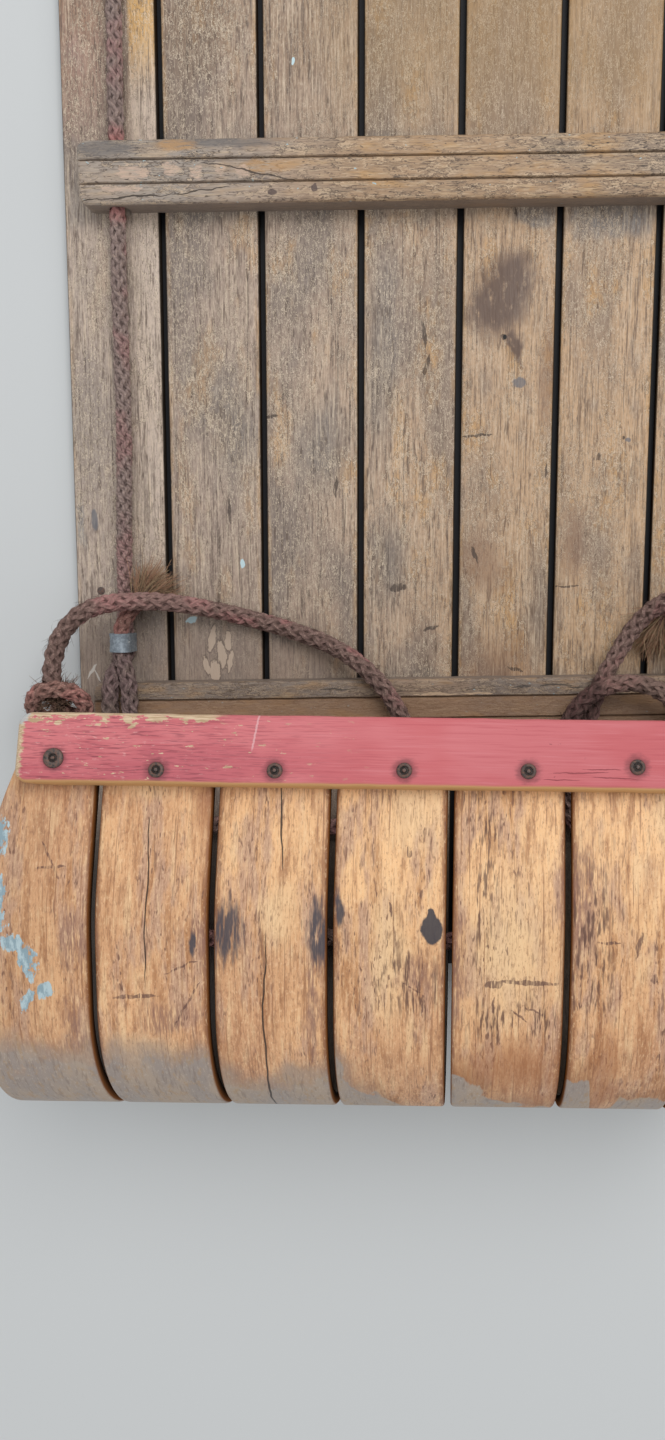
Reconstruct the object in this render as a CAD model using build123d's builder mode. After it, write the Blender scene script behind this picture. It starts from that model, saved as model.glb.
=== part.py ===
from build123d import *
from math import cos, pi, radians, sin, tan
import os

# A slatted wooden toboggan lying on the ground. +Z is up, +Y runs to the rear, the curl is at -Y,
# and the origin is on the ground under the middle of the sled. Millimetres.

LENGTH = 1630.0
FRONT = -LENGTH / 2
REAR = LENGTH / 2

# Slats
SLAT_COUNT = 7
SLAT_PITCH = 63.5
SLAT_WIDTH = 60.0
SLAT_THICK = 8.0
SLAT_EDGE = 2.0
DECK_WIDTH = (SLAT_COUNT - 1) * SLAT_PITCH + SLAT_WIDTH
OUTER_SLAT = (SLAT_COUNT + 1) // 2 - 1

# Curl, on the middle line of the slat's thickness
CURL_RADIUS = 83.0
CURL_FLAT = 34.0
HOOK_RADIUS = 116.0
HOOK_ANGLE = 16.5
TIP_RUN = 88.0
TIP_HALF_WIDTH = 194.0
TAPER_START = 98.0
TAPER_BULGE = 5.0

# Battens across the deck
BATTEN_LENGTH = 412.0
BATTEN_WIDTH = 38.0
BATTEN_THICK = 17.0
BATTEN_EDGE = 2.5
BATTEN_CORNER = 6.0
BATTEN_SKEW = 1.6
BATTEN_COUNT = 5
FRONT_INSET = 234.0
REAR_INSET = 50.0
BATTEN_FRONT_Y = FRONT + FRONT_INSET
BATTEN_SPACING = (LENGTH - FRONT_INSET - REAR_INSET) / (BATTEN_COUNT - 1)
GROOVE_OFFSET = 7.0
GROOVE_WIDTH = 2.0
GROOVE_DEPTH = 1.4

# Bars that clamp the slat tips
BAR_LENGTH = 400.0
BAR_WIDTH = 38.0
BAR_THICK = 13.0
BAR_RUN = 71.0
BAR_EDGE = 3.0
BAR_CORNER = 7.0
INNER_LENGTH = 372.0
INNER_WIDTH = 30.0
INNER_THICK = 11.0

# Rivets through the bars: across the sled, and forward of the bar's middle line
RIVET_SPOTS = (
    (-179.3, 6.0),
    (-124.4, 11.5),
    (-61.7, 11.0),
    (6.9, 10.0),
    (72.7, 9.5),
    (130.5, 6.5),
    (181.0, 8.0),
)
RIVET_SHANK = 2.5
RIVET_FIT = 0.1
RIVET_HEAD = 4.3
RIVET_HEAD_HEIGHT = 1.6
RIVET_BURR = 5.5
RIVET_BURR_HEIGHT = 1.2

# Side ropes on the outer slats
ROPE = 5.75
ROPE_GAP = 0.2
ROPE_SHIFT_START = 34.5
ROPE_SHIFT_END = 115.0
ROPE_X = 184.0
ROPE_Z = SLAT_THICK + ROPE + ROPE_GAP
NOTCH_HALF = 6.5
NOTCH_DEPTH = 12.4
EYE_NOTCH_HALF = 13.0
EYE_X = 186.3
FERRULE_Z = SLAT_THICK + ROPE + 1.4
STRAND_GAP = 12.6
EYE_SLACK = 0.05
LEAD = 3.6
FERRULE_BEHIND = 26.6
FERRULE_LENGTH = 12.0
FERRULE_WALL = 1.2
FERRULE_RISE = 11.7
KNOT_RADIUS = 12.0
KNOT_LENGTH = 22.0
KNOT_EDGE = 5.0

# Cut ends of the side ropes: across the sled, behind the ferrule, and up
TAIL_RADIUS = 5.0
TAIL_LEFT = ((181.0, 13.0, 25.8), (173.5, 22.5, 19.5), (166.0, 32.0, 14.5))
TAIL_RIGHT = ((180.0, 12.0, 26.0), (169.0, 11.0, 21.0), (165.0, -1.0, 15.0), (164.5, -15.0, 14.0))

# Pull rope: its middle line from the left knot into the curl and out to the right knot, as places
# across the sled, behind the front batten's middle, and up
PULL = 6.0
PULL_KNOT = (222.5, 2.0, 42.0)
PULL_KNOT_SIZE = (23.0, 17.0, 15.0)
PULL_KNOT_EDGE = 12.75
PULL_SHARE = 0.45
PULL_ROUTE = (
    (-225.0, 16.0, 46.0),
    (-225.0, 27.5, 44.0),
    (-219.6, 47.5, 41.0),
    (-205.0, 62.1, 39.0),
    (-184.5, 67.5, 36.5),
    (-161.0, 68.0, 31.0),
    (-136.0, 64.5, 20.0),
    (-108.0, 58.0, 14.8),
    (-77.0, 50.0, 14.4),
    (-48.0, 40.0, 19.0),
    (-24.0, 25.5, 31.5),
    (-6.0, 5.0, 36.0),
    (3.0, -21.0, 31.0),
    (1.0, -48.0, 18.5),
    (-16.0, -71.0, 14.6),
    (-44.0, -84.0, 14.4),
    (-73.0, -83.0, 14.4),
    (-101.0, -78.0, 14.4),
    (-128.0, -82.0, 14.4),
    (-152.0, -90.0, 14.4),
    (-167.0, -110.5, 14.4),
    (-167.0, -135.5, 14.6),
    (-152.0, -156.0, 15.8),
    (-128.0, -164.0, 17.2),
    (-98.0, -166.0, 17.6),
    (-60.0, -159.0, 16.0),
    (-22.0, -163.0, 17.0),
    (18.0, -165.0, 17.4),
    (52.0, -156.0, 15.8),
    (78.0, -135.0, 14.6),
    (91.0, -107.0, 14.4),
    (92.0, -77.0, 15.0),
    (94.0, -48.0, 25.0),
    (101.5, -22.0, 38.0),
    (107.1, 1.0, 44.5),
    (122.5, 16.4, 46.0),
    (143.5, 22.0, 45.0),
    (164.5, 16.4, 44.5),
    (179.9, 1.0, 45.0),
    (186.0, -21.0, 43.0),
    (189.5, -42.0, 32.0),
    (190.5, -64.0, 19.5),
    (182.4, -87.0, 14.6),
    (162.4, -101.0, 14.6),
    (137.6, -101.0, 14.6),
    (117.6, -86.5, 14.6),
    (110.0, -63.0, 15.0),
    (114.0, -38.0, 24.5),
    (118.0, -13.0, 32.4),
    (124.0, 14.0, 33.0),
    (137.0, 37.0, 27.0),
    (151.0, 59.5, 24.0),
    (166.0, 73.0, 32.5),
    (185.0, 78.0, 41.0),
    (205.0, 73.0, 42.5),
    (219.8, 58.0, 43.5),
    (225.0, 37.0, 44.5),
    (225.0, 16.0, 46.0),
)

os.makedirs("parts", exist_ok=True)


def slat_x(index):
    """Middle of a slat across the sled."""
    return (index - OUTER_SLAT) * SLAT_PITCH


def batten_y(index, x):
    """Middle line of a batten at a place across the sled; the battens stand slightly askew."""
    return BATTEN_FRONT_Y + index * BATTEN_SPACING + x * tan(radians(BATTEN_SKEW))


# Slats: one bent line for all, swept with a rounded section, the outer two cut narrower at the tip.
curl_y = FRONT + CURL_RADIUS + SLAT_THICK / 2
curl_top = SLAT_THICK / 2 + 2 * CURL_RADIUS
hook_y = curl_y + CURL_FLAT
hook = radians(HOOK_ANGLE)
hook_end = (0, hook_y + HOOK_RADIUS * sin(hook), curl_top - HOOK_RADIUS * (1 - cos(hook)))
tip_along = Vector(0, cos(hook), -sin(hook))
tip_up = Vector(0, sin(hook), cos(hook))
tip_end = Vector(*hook_end) + tip_along * TIP_RUN

with BuildLine() as slat_line:
    Line((0, REAR, SLAT_THICK / 2), (0, curl_y, SLAT_THICK / 2))
    ThreePointArc(
        (0, curl_y, SLAT_THICK / 2),
        (0, curl_y - CURL_RADIUS, SLAT_THICK / 2 + CURL_RADIUS),
        (0, curl_y, curl_top),
    )
    Line((0, curl_y, curl_top), (0, hook_y, curl_top))
    ThreePointArc(
        (0, hook_y, curl_top),
        (0, hook_y + HOOK_RADIUS * sin(hook / 2), curl_top - HOOK_RADIUS * (1 - cos(hook / 2))),
        hook_end,
    )
    Line(hook_end, tip_end)

with BuildPart() as straight_slat:
    with BuildSketch(Plane(origin=(0, REAR, SLAT_THICK / 2), x_dir=(1, 0, 0), z_dir=(0, -1, 0))):
        RectangleRounded(SLAT_WIDTH, SLAT_THICK, SLAT_EDGE)
    sweep(path=slat_line.line)

bar_foot = Vector(*hook_end) + tip_along * BAR_RUN + tip_up * (SLAT_THICK / 2)
bar_plane = Plane(origin=bar_foot, x_dir=(1, 0, 0), z_dir=tip_up)

for slat in range(SLAT_COUNT):
    middle = slat_x(slat)
    side = -1 if middle < 0 else 1
    with BuildPart() as board:
        add(straight_slat.part.moved(Location((middle, 0, 0))))
        if slat in (0, SLAT_COUNT - 1):
            edge = side * DECK_WIDTH / 2
            start = tip_end.Y - TAPER_START
            with BuildSketch(Plane.XY.offset(curl_top - 2 * SLAT_THICK - SLAT_WIDTH / 2)):
                with BuildLine():
                    bulge_x = (edge + side * TIP_HALF_WIDTH) / 2 + side * TAPER_BULGE
                    bulge_y = (start + tip_end.Y) / 2
                    ThreePointArc((edge, start), (bulge_x, bulge_y), (side * TIP_HALF_WIDTH, tip_end.Y))
                    Polyline(
                        (side * TIP_HALF_WIDTH, tip_end.Y),
                        (side * TIP_HALF_WIDTH, tip_end.Y + SLAT_WIDTH),
                        (edge + side * SLAT_WIDTH, tip_end.Y + SLAT_WIDTH),
                        (edge + side * SLAT_WIDTH, start),
                        (edge, start),
                    )
                make_face()
            extrude(amount=2 * SLAT_WIDTH, mode=Mode.SUBTRACT)
        rivet_x, rivet_forward = RIVET_SPOTS[slat]
        with BuildSketch(bar_plane):
            with Locations((rivet_x, -rivet_forward)):
                Circle(RIVET_SHANK + RIVET_FIT)
        extrude(amount=2 * SLAT_THICK, both=True, mode=Mode.SUBTRACT)
    name = f"slat_{slat + 1}"
    board.part.label = name
    export_step(board.part, f"parts/{name}.step")
    print(name, "volume", round(board.part.volume))

# Battens: grooved along the top, round at the corners, hollowed below where the side ropes pass.
for index in range(BATTEN_COUNT):
    plane = Plane(
        origin=(0, batten_y(index, 0), SLAT_THICK),
        x_dir=(cos(radians(BATTEN_SKEW)), sin(radians(BATTEN_SKEW)), 0),
        z_dir=(0, 0, 1),
    )
    notch_half = EYE_NOTCH_HALF if index == 0 else NOTCH_HALF
    notch_x = EYE_X if index == 0 else ROPE_X
    with BuildPart() as batten:
        with BuildSketch(plane):
            RectangleRounded(BATTEN_LENGTH, BATTEN_WIDTH, BATTEN_CORNER)
        extrude(amount=BATTEN_THICK)
        fillet(batten.faces().sort_by(Axis.Z)[-1].edges(), BATTEN_EDGE)
        with BuildSketch(Plane(origin=plane.origin, x_dir=plane.y_dir, z_dir=plane.x_dir)):
            for offset_y in (-GROOVE_OFFSET, GROOVE_OFFSET):
                with BuildLine():
                    Polyline(
                        (offset_y - GROOVE_WIDTH / 2, BATTEN_THICK),
                        (offset_y, BATTEN_THICK - GROOVE_DEPTH),
                        (offset_y + GROOVE_WIDTH / 2, BATTEN_THICK),
                        close=True,
                    )
                make_face()
        extrude(amount=BATTEN_LENGTH / 2, both=True, mode=Mode.SUBTRACT)
        with BuildSketch(Plane.XZ.offset(-batten_y(index, 0) - BATTEN_WIDTH)):
            for side in (-1, 1):
                with Locations((side * notch_x, SLAT_THICK)):
                    RectangleRounded(2 * notch_half, 2 * NOTCH_DEPTH, ROPE)
        extrude(amount=2 * BATTEN_WIDTH, mode=Mode.SUBTRACT)
    name = f"batten_{index + 1}"
    batten.part.label = name
    export_step(batten.part, f"parts/{name}.step")
    print(name, "volume", round(batten.part.volume), "solids", len(batten.solids()))

# Head bar on the outside of the slat tips and the inner bar behind them.
for name, length, width, thick, base, up in (
    ("head_bar", BAR_LENGTH, BAR_WIDTH, BAR_THICK, 0.0, 1),
    ("inner_bar", INNER_LENGTH, INNER_WIDTH, INNER_THICK, -SLAT_THICK, -1),
):
    with BuildPart() as bar:
        with BuildSketch(bar_plane.offset(base)):
            RectangleRounded(length, width, BAR_CORNER)
        extrude(amount=up * thick)
        outer_face = bar.faces().sort_by(lambda face: up * face.center().dot(tip_up))[-1]
        fillet(outer_face.edges(), BAR_EDGE)
        with BuildSketch(bar_plane):
            with Locations(*[(x, -forward) for x, forward in RIVET_SPOTS]):
                Circle(RIVET_SHANK + RIVET_FIT)
        extrude(amount=2 * (thick + SLAT_THICK), both=True, mode=Mode.SUBTRACT)
    bar.part.label = name
    export_step(bar.part, f"parts/{name}.step")
    print(name, "volume", round(bar.part.volume))

# Rivets: a burr on the head bar, a shank through bar, slat and inner bar, and a domed head within.
grip = BAR_THICK + SLAT_THICK + INNER_THICK
for index, (rivet_x, rivet_forward) in enumerate(RIVET_SPOTS):
    burr = RIVET_BURR if index in (0, SLAT_COUNT - 1) else RIVET_HEAD
    foot = bar_plane.origin + Vector(rivet_x, 0, 0) - bar_plane.y_dir * rivet_forward
    inner_face = foot - tip_up * (SLAT_THICK + INNER_THICK)
    with BuildPart() as rivet:
        with BuildSketch(Plane(origin=inner_face, x_dir=(1, 0, 0), z_dir=tip_up)):
            Circle(RIVET_SHANK)
        extrude(amount=grip)
        with BuildSketch(Plane(origin=foot + tip_up * BAR_THICK, x_dir=(1, 0, 0), z_dir=tip_up)):
            Circle(burr)
        extrude(amount=RIVET_BURR_HEIGHT)
        rims = rivet.edges().filter_by(GeomType.CIRCLE)
        fillet(rims.sort_by(lambda rim: rim.center().dot(tip_up))[-1], RIVET_BURR_HEIGHT / 2)
        with BuildSketch(Plane(origin=inner_face, x_dir=(1, 0, 0), z_dir=-tip_up)):
            Circle(RIVET_HEAD)
        extrude(amount=RIVET_HEAD_HEIGHT)
    name = f"rivet_{index + 1}"
    rivet.part.label = name
    export_step(rivet.part, f"parts/{name}.step")

# The eye of the side rope: two strands from the ferrule over the front batten, joined in its notch.
front_leg = -BATTEN_WIDTH / 2 - ROPE - 2 * ROPE_GAP
back_leg = BATTEN_WIDTH / 2
over = SLAT_THICK + BATTEN_THICK + ROPE + 2 * ROPE_GAP
eye_ferrule = back_leg + FERRULE_BEHIND - FERRULE_LENGTH / 2
with BuildPart() as left_eye:
    with BuildLine() as eye_line:
        FilletPolyline(
            (-EYE_X, eye_ferrule, FERRULE_Z),
            (-EYE_X, eye_ferrule - LEAD, FERRULE_Z),
            (-EYE_X - STRAND_GAP / 2, back_leg + LEAD, over),
            (-EYE_X - STRAND_GAP / 2, front_leg, over),
            (-EYE_X - STRAND_GAP / 2, front_leg, ROPE_Z),
            (-EYE_X - STRAND_GAP / 2, 0, ROPE_Z),
            (-EYE_X + STRAND_GAP / 2, 0, ROPE_Z),
            (-EYE_X + STRAND_GAP / 2, front_leg, ROPE_Z),
            (-EYE_X + STRAND_GAP / 2, front_leg, over),
            (-EYE_X + STRAND_GAP / 2, back_leg + LEAD, over),
            (-EYE_X, eye_ferrule - LEAD, FERRULE_Z + FERRULE_RISE),
            (-EYE_X, eye_ferrule, FERRULE_Z + FERRULE_RISE),
            radius=ROPE + EYE_SLACK,
        )
    with BuildSketch(Plane(origin=eye_line.line @ 0, z_dir=eye_line.line % 0)):
        Circle(ROPE)
    sweep()

# Side ropes: each lies along an outer slat, runs under the battens and is knotted behind the last one.
for side, hand, tail_points in ((-1, "left", TAIL_LEFT), (1, "right", TAIL_RIGHT)):
    batten_mid = batten_y(0, side * EYE_X)
    batten_rear = batten_mid + BATTEN_WIDTH / 2
    ferrule_y = batten_rear + FERRULE_BEHIND
    ferrule_front = ferrule_y - FERRULE_LENGTH / 2
    ferrule_rear = ferrule_y + FERRULE_LENGTH / 2
    knot_y = batten_y(BATTEN_COUNT - 1, side * ROPE_X) + BATTEN_WIDTH / 2 + KNOT_LENGTH / 2 + 3 * ROPE_GAP
    knot_z = SLAT_THICK + KNOT_RADIUS + ROPE_GAP
    with BuildPart() as side_rope:
        with BuildLine() as rope_line:
            FilletPolyline(
                (side * EYE_X, ferrule_rear, FERRULE_Z),
                (side * EYE_X, ferrule_rear + ROPE_SHIFT_START, FERRULE_Z),
                (side * ROPE_X, ferrule_rear + ROPE_SHIFT_END, ROPE_Z),
                (side * ROPE_X, knot_y - KNOT_LENGTH / 2, ROPE_Z),
                radius=ROPE_SHIFT_END,
            )
        with BuildSketch(Plane(origin=rope_line.line @ 0, z_dir=rope_line.line % 0)):
            Circle(ROPE)
        sweep()
    name = f"side_rope_{hand}"
    side_rope.part.label = name
    export_step(side_rope.part, f"parts/{name}.step")
    print(name, "volume", round(side_rope.part.volume), "solids", len(side_rope.solids()))

    with BuildPart() as rear_knot:
        with BuildSketch(Plane.XZ.offset(-knot_y)):
            with Locations((side * ROPE_X, knot_z)):
                Circle(KNOT_RADIUS)
        extrude(amount=KNOT_LENGTH / 2, both=True)
        fillet(rear_knot.edges().filter_by(GeomType.CIRCLE), KNOT_EDGE)
    name = f"rear_knot_{hand}"
    rear_knot.part.label = name
    export_step(rear_knot.part, f"parts/{name}.step")

    with BuildPart() as eye:
        if side < 0:
            add(left_eye.part.moved(Location((0, batten_mid, 0))))
        else:
            add(left_eye.part.mirror(Plane.YZ).moved(Location((0, batten_mid, 0))))
    name = f"eye_{hand}"
    eye.part.label = name
    export_step(eye.part, f"parts/{name}.step")
    print(name, "volume", round(eye.part.volume), "solids", len(eye.solids()), "valid", eye.part.is_valid)

    with BuildPart() as ferrule:
        with BuildSketch(Plane.XZ.offset(-ferrule_y)):
            with Locations((side * EYE_X, FERRULE_Z + FERRULE_RISE / 2)):
                SlotCenterToCenter(FERRULE_RISE, 2 * (ROPE + FERRULE_WALL), rotation=90)
        extrude(amount=FERRULE_LENGTH / 2, both=True)
    name = f"ferrule_{hand}"
    ferrule.part.label = name
    export_step(ferrule.part, f"parts/{name}.step")

    # The cut end of the same rope, lying free behind the ferrule.
    with BuildPart() as tail:
        with BuildLine() as tail_line:
            FilletPolyline(
                (side * EYE_X, ferrule_rear, FERRULE_Z + FERRULE_RISE),
                (side * EYE_X, ferrule_rear + LEAD, FERRULE_Z + FERRULE_RISE),
                *[(side * x, ferrule_rear + back, z) for x, back, z in tail_points],
                radius=TAIL_RADIUS,
            )
        with BuildSketch(Plane(origin=tail_line.line @ 0, z_dir=tail_line.line % 0)):
            Circle(TAIL_RADIUS)
        sweep()
    name = f"tail_{hand}"
    tail.part.label = name
    export_step(tail.part, f"parts/{name}.step")
    print(name, "volume", round(tail.part.volume), "solids", len(tail.solids()), "valid", tail.part.is_valid)

    # The knot that ties the pull rope beside the end of the front batten.
    with BuildPart() as pull_knot:
        with Locations((side * PULL_KNOT[0], BATTEN_FRONT_Y + PULL_KNOT[1], PULL_KNOT[2])):
            Box(*[2 * size for size in PULL_KNOT_SIZE])
        fillet(pull_knot.edges(), PULL_KNOT_EDGE)
    name = f"pull_knot_{hand}"
    pull_knot.part.label = name
    export_step(pull_knot.part, f"parts/{name}.step")

# Pull rope: straight runs joined by arcs as large as the runs allow.
corners = [Vector(x, BATTEN_FRONT_Y + back, z) for x, back, z in PULL_ROUTE]
radii = []
for before, here, after in zip(corners, corners[1:], corners[2:]):
    half_turn = radians((here - before).get_angle(after - here)) / 2
    shorter = min((here - before).length, (after - here).length)
    radii.append(PULL_SHARE * shorter * cos(half_turn) / sin(half_turn))
print("pull rope radii", [round(radius) for radius in radii])
with BuildPart() as pull_rope:
    with BuildLine() as pull_line:
        FilletPolyline(*corners, radius=radii)
    with BuildSketch(Plane(origin=pull_line.line @ 0, z_dir=pull_line.line % 0)):
        Circle(PULL)
    sweep()
pull_rope.part.label = "pull_rope"
export_step(pull_rope.part, "parts/pull_rope.step")
pull_length = sum(edge.length for edge in pull_line.edges())
print("pull rope length", round(pull_length, 1))
print("pull rope volume", round(pull_rope.part.volume), "tube", round(pi * PULL**2 * pull_length))
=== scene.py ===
import random
from math import atan2, cos, hypot, pi, radians, sin, tan

import bmesh
import bpy
from mathutils import Matrix, Vector, kdtree, noise


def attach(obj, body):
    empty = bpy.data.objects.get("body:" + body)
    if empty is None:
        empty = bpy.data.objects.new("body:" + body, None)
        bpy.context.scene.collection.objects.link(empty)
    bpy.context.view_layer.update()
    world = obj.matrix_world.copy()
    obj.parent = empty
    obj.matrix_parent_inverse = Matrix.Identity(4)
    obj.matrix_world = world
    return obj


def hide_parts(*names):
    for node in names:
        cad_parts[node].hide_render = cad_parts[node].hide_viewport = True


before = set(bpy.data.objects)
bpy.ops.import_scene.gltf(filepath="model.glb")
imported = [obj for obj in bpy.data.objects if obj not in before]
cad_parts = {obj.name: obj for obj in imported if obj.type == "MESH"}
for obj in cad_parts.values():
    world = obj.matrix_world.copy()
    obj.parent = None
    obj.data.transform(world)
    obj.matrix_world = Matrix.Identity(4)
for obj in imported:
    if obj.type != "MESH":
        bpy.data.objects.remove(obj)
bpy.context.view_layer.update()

# Slats: seven hardwood boards, planed, varnished, and steamed to bend up and over at the front.
# Weather has greyed the deck side, while the curl and the edges along the gaps keep their amber.
SLAT_COUNT = 7
SLAT_PITCH = 0.0635
SLAT_WIDTH = 0.060
SLAT_THICK = 0.008
SLAT_EDGE = 0.002
DECK_REAR = 0.815
CURL_Y = -0.728
CURL_RADIUS = 0.083
CURL_TOP = SLAT_THICK / 2 + 2 * CURL_RADIUS
CURL_FLAT = 0.034
HOOK_RADIUS = 0.116
HOOK = radians(16.5)
TIP_RUN = 0.088
TIP_HALF_WIDTH = 0.194
TAPER_START = 0.098
TAPER_BULGE = 0.005
BATTEN_FRONT_Y = -0.581
BATTEN_SPACING = 0.3365
SKEW = radians(1.6)
DECK_RUN = DECK_REAR - CURL_Y
CURL_RUN = pi * CURL_RADIUS
TIMES = {"operation": "MULTIPLY"}
TIMES_PLUS = {"operation": "MULTIPLY_ADD"}
SMOOTH = {"interpolation_type": "SMOOTHSTEP"}


def linear(code):
    """A colour written as sRGB hex, as the linear values that nodes take."""
    parts = [int(code[place : place + 2], 16) / 255 for place in (1, 3, 5)]
    return (*[part / 12.92 if part <= 0.04045 else ((part + 0.055) / 1.055) ** 2.4 for part in parts], 1.0)


def add(tree, kind, settings, inputs):
    """One node with its settings, its values and its links; gives its first output in use."""
    made = tree.nodes.new("ShaderNode" + kind)
    for name, value in settings.items():
        setattr(made, name, value)
    live = [socket for socket in made.inputs if socket.enabled]
    for key, value in inputs.items():
        socket = live[key] if isinstance(key, int) else next(s for s in live if s.name == key)
        if isinstance(value, bpy.types.NodeSocket):
            tree.links.new(value, socket)
        else:
            socket.default_value = value
    return next(socket for socket in made.outputs if socket.enabled)


def new_material(name):
    """An empty material, its node tree, and the shader that ends it."""
    material = bpy.data.materials.new(name)
    material.use_nodes = True
    tree = material.node_tree
    return material, tree, tree.nodes["Principled BSDF"]


def surface(tree, shader, height, strength, deep, looks):
    """Puts the looks on the shader's own sockets, and a relief of some strength and depth under them."""
    for name, value in looks.items():
        if isinstance(value, bpy.types.NodeSocket):
            tree.links.new(value, shader.inputs[name])
        else:
            shader.inputs[name].default_value = value
    bump = add(tree, "Bump", {}, {"Strength": strength, "Distance": deep, "Height": height})
    tree.links.new(bump, shader.inputs["Normal"])


def new_piece(name, shape, material, slot, *replaced):
    """A finished bmesh or curve as an object that rides on the sled and stands for its solids."""
    if isinstance(shape, bmesh.types.BMesh):
        mesh = bpy.data.meshes.new(name)
        shape.to_mesh(mesh)
        shape.free()
    else:
        mesh = bpy.data.meshes.new_from_object(bpy.data.objects.new(name + "_line", shape))
    mesh.materials.clear()
    mesh.materials.append(material)
    mesh.shade_smooth()
    mesh.set_sharp_from_angle(angle=radians(40))
    made = bpy.data.objects.new(name, mesh)
    bpy.context.collection.objects.link(made)
    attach(made, "root")
    if replaced:
        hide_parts(*replaced)
    return made


def unbend(point):
    """Across, along from the rear end, and out through the thickness of the straight board."""
    hook_y = CURL_Y + CURL_FLAT
    if point.y <= CURL_Y:
        turn = atan2(CURL_Y - point.y, CURL_RADIUS + SLAT_THICK / 2 - point.z)
        out = hypot(CURL_Y - point.y, CURL_RADIUS + SLAT_THICK / 2 - point.z) - CURL_RADIUS
        return point.x, DECK_RUN + CURL_RADIUS * turn, out
    if point.z < CURL_RADIUS:
        return point.x, DECK_REAR - point.y, SLAT_THICK / 2 - point.z
    if point.y < hook_y:
        return point.x, DECK_RUN + CURL_RUN + point.y - CURL_Y, point.z - CURL_TOP
    up = point.z - CURL_TOP + HOOK_RADIUS
    turn = atan2(point.y - hook_y, up)
    start = DECK_RUN + CURL_RUN + CURL_FLAT
    if turn < HOOK:
        return point.x, start + HOOK_RADIUS * turn, hypot(point.y - hook_y, up) - HOOK_RADIUS
    past = Vector((0, point.y - hook_y, up))
    run = past.dot(Vector((0, cos(HOOK), -sin(HOOK))))
    out = past.dot(Vector((0, sin(HOOK), cos(HOOK)))) - HOOK_RADIUS
    return point.x, start + HOOK_RADIUS * HOOK + run, out


def keep_local(made, local):
    """Stores where each vertex lay on the straight, unplaced board, for the grain to follow."""
    grain = made.data.attributes.new("board", "FLOAT_VECTOR", "POINT")
    for value, point in zip(grain.data, local):
        value.vector = point


# Weathered varnished ash: to the eye dry, grey-brown and silky along the grain on the deck, amber and half
# glossy where varnish is left on the curl, with dark pores and open splits in both.
slat_wood, tree, shader = new_material("weathered_varnished_ash")
board = add(tree, "Attribute", {"attribute_name": "board"}, {})
across, along, out = add(tree, "SeparateXYZ", {}, {0: board}).node.outputs
number = add(tree, "Math", {"operation": "DIVIDE"}, {0: across, 1: SLAT_PITCH})
number = add(tree, "Math", {"operation": "ROUND"}, {0: number})
middle_x = add(tree, "Math", TIMES, {0: number, 1: SLAT_PITCH})
from_middle = add(tree, "Math", {"operation": "SUBTRACT"}, {0: across, 1: middle_x})
from_middle = add(tree, "Math", {"operation": "ABSOLUTE"}, {0: from_middle})
other_log = add(tree, "Math", TIMES_PLUS, {0: number, 1: 0.731, 2: along})
timber = add(tree, "CombineXYZ", {}, {0: across, 1: other_log, 2: out})


def figure(tree, place, *sizes):
    """Noise patterns by name, each given by its width and length in millimetres, detail and roughness."""
    made = {}
    for name, wide, long, detail, rough in sizes:
        finer = (1000 / wide, 1000 / long, 1000 / wide)
        scaled = add(tree, "VectorMath", TIMES, {0: place, 1: finer})
        looks = {"Vector": scaled, "Scale": 1.0, "Detail": detail, "Roughness": rough}
        made[name] = add(tree, "TexNoise", {}, looks)
    return made


def coated(tree, colour, patterns, *coats):
    """Coats of colour laid over one another. Each has its colour and its share, then what it keeps to:
    other shares, or a value or a pattern's name with the two numbers between which the coat sets in."""
    for over, share, *places in coats:
        for place in places:
            if isinstance(place, tuple):
                value, low, high = place
                value = patterns[value] if isinstance(value, str) else value
                ends = {"Value": value, "From Min": low, "From Max": high, "To Max": share}
                share = add(tree, "MapRange", SMOOTH, ends)
            else:
                share = add(tree, "Math", TIMES, {0: share, 1: place})
        over = linear(over) if isinstance(over, str) else over
        colour = add(tree, "Mix", {"data_type": "RGBA"}, {"Factor": share, "A": colour, "B": over})
    return colour


def spots(tree, place, ragged, blur, soft, *marks):
    """A share that is 1 inside some ovals with ragged and soft edges. Each has its middle across and along,
    half its width and length, and its lean in degrees."""
    nearest = 9.0
    for middle, wide, long, lean in marks:
        off = add(tree, "VectorMath", {"operation": "SUBTRACT"}, {0: place, 1: (*middle, 0)})
        turn = {"Vector": off, "Angle": radians(lean)}
        straight = add(tree, "VectorRotate", {"rotation_type": "Z_AXIS"}, turn)
        scaled = add(tree, "VectorMath", TIMES, {0: straight, 1: (1 / wide, 1 / long, 0)})
        add(tree, "VectorMath", {"operation": "LENGTH"}, {0: scaled})
        away = {0: tree.nodes[-1].outputs["Value"], 1: nearest}
        nearest = add(tree, "Math", {"operation": "MINIMUM"}, away)
    ragged = add(tree, "Math", TIMES_PLUS, {0: ragged, 1: -blur, 2: nearest})
    ends = {"Value": ragged, "From Min": 1 + soft - blur / 2, "From Max": 1 - soft - blur / 2}
    return add(tree, "MapRange", SMOOTH, ends)


def bent(tree, place, size, amount):
    """A position pushed about by a noise, so that what is drawn there has a natural outline."""
    scaled = add(tree, "VectorMath", TIMES, {0: place, 1: (1000 / size, 700 / size, 0)})
    push = add(tree, "TexNoise", {}, {"Vector": scaled, "Scale": 1.0, "Detail": 3.0}).node.outputs["Color"]
    push = add(tree, "VectorMath", {"operation": "SUBTRACT"}, {0: push, 1: (0.5, 0.5, 0.5)})
    return add(tree, "VectorMath", TIMES_PLUS, {0: push, 1: (amount, amount, 0), 2: place})


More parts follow.
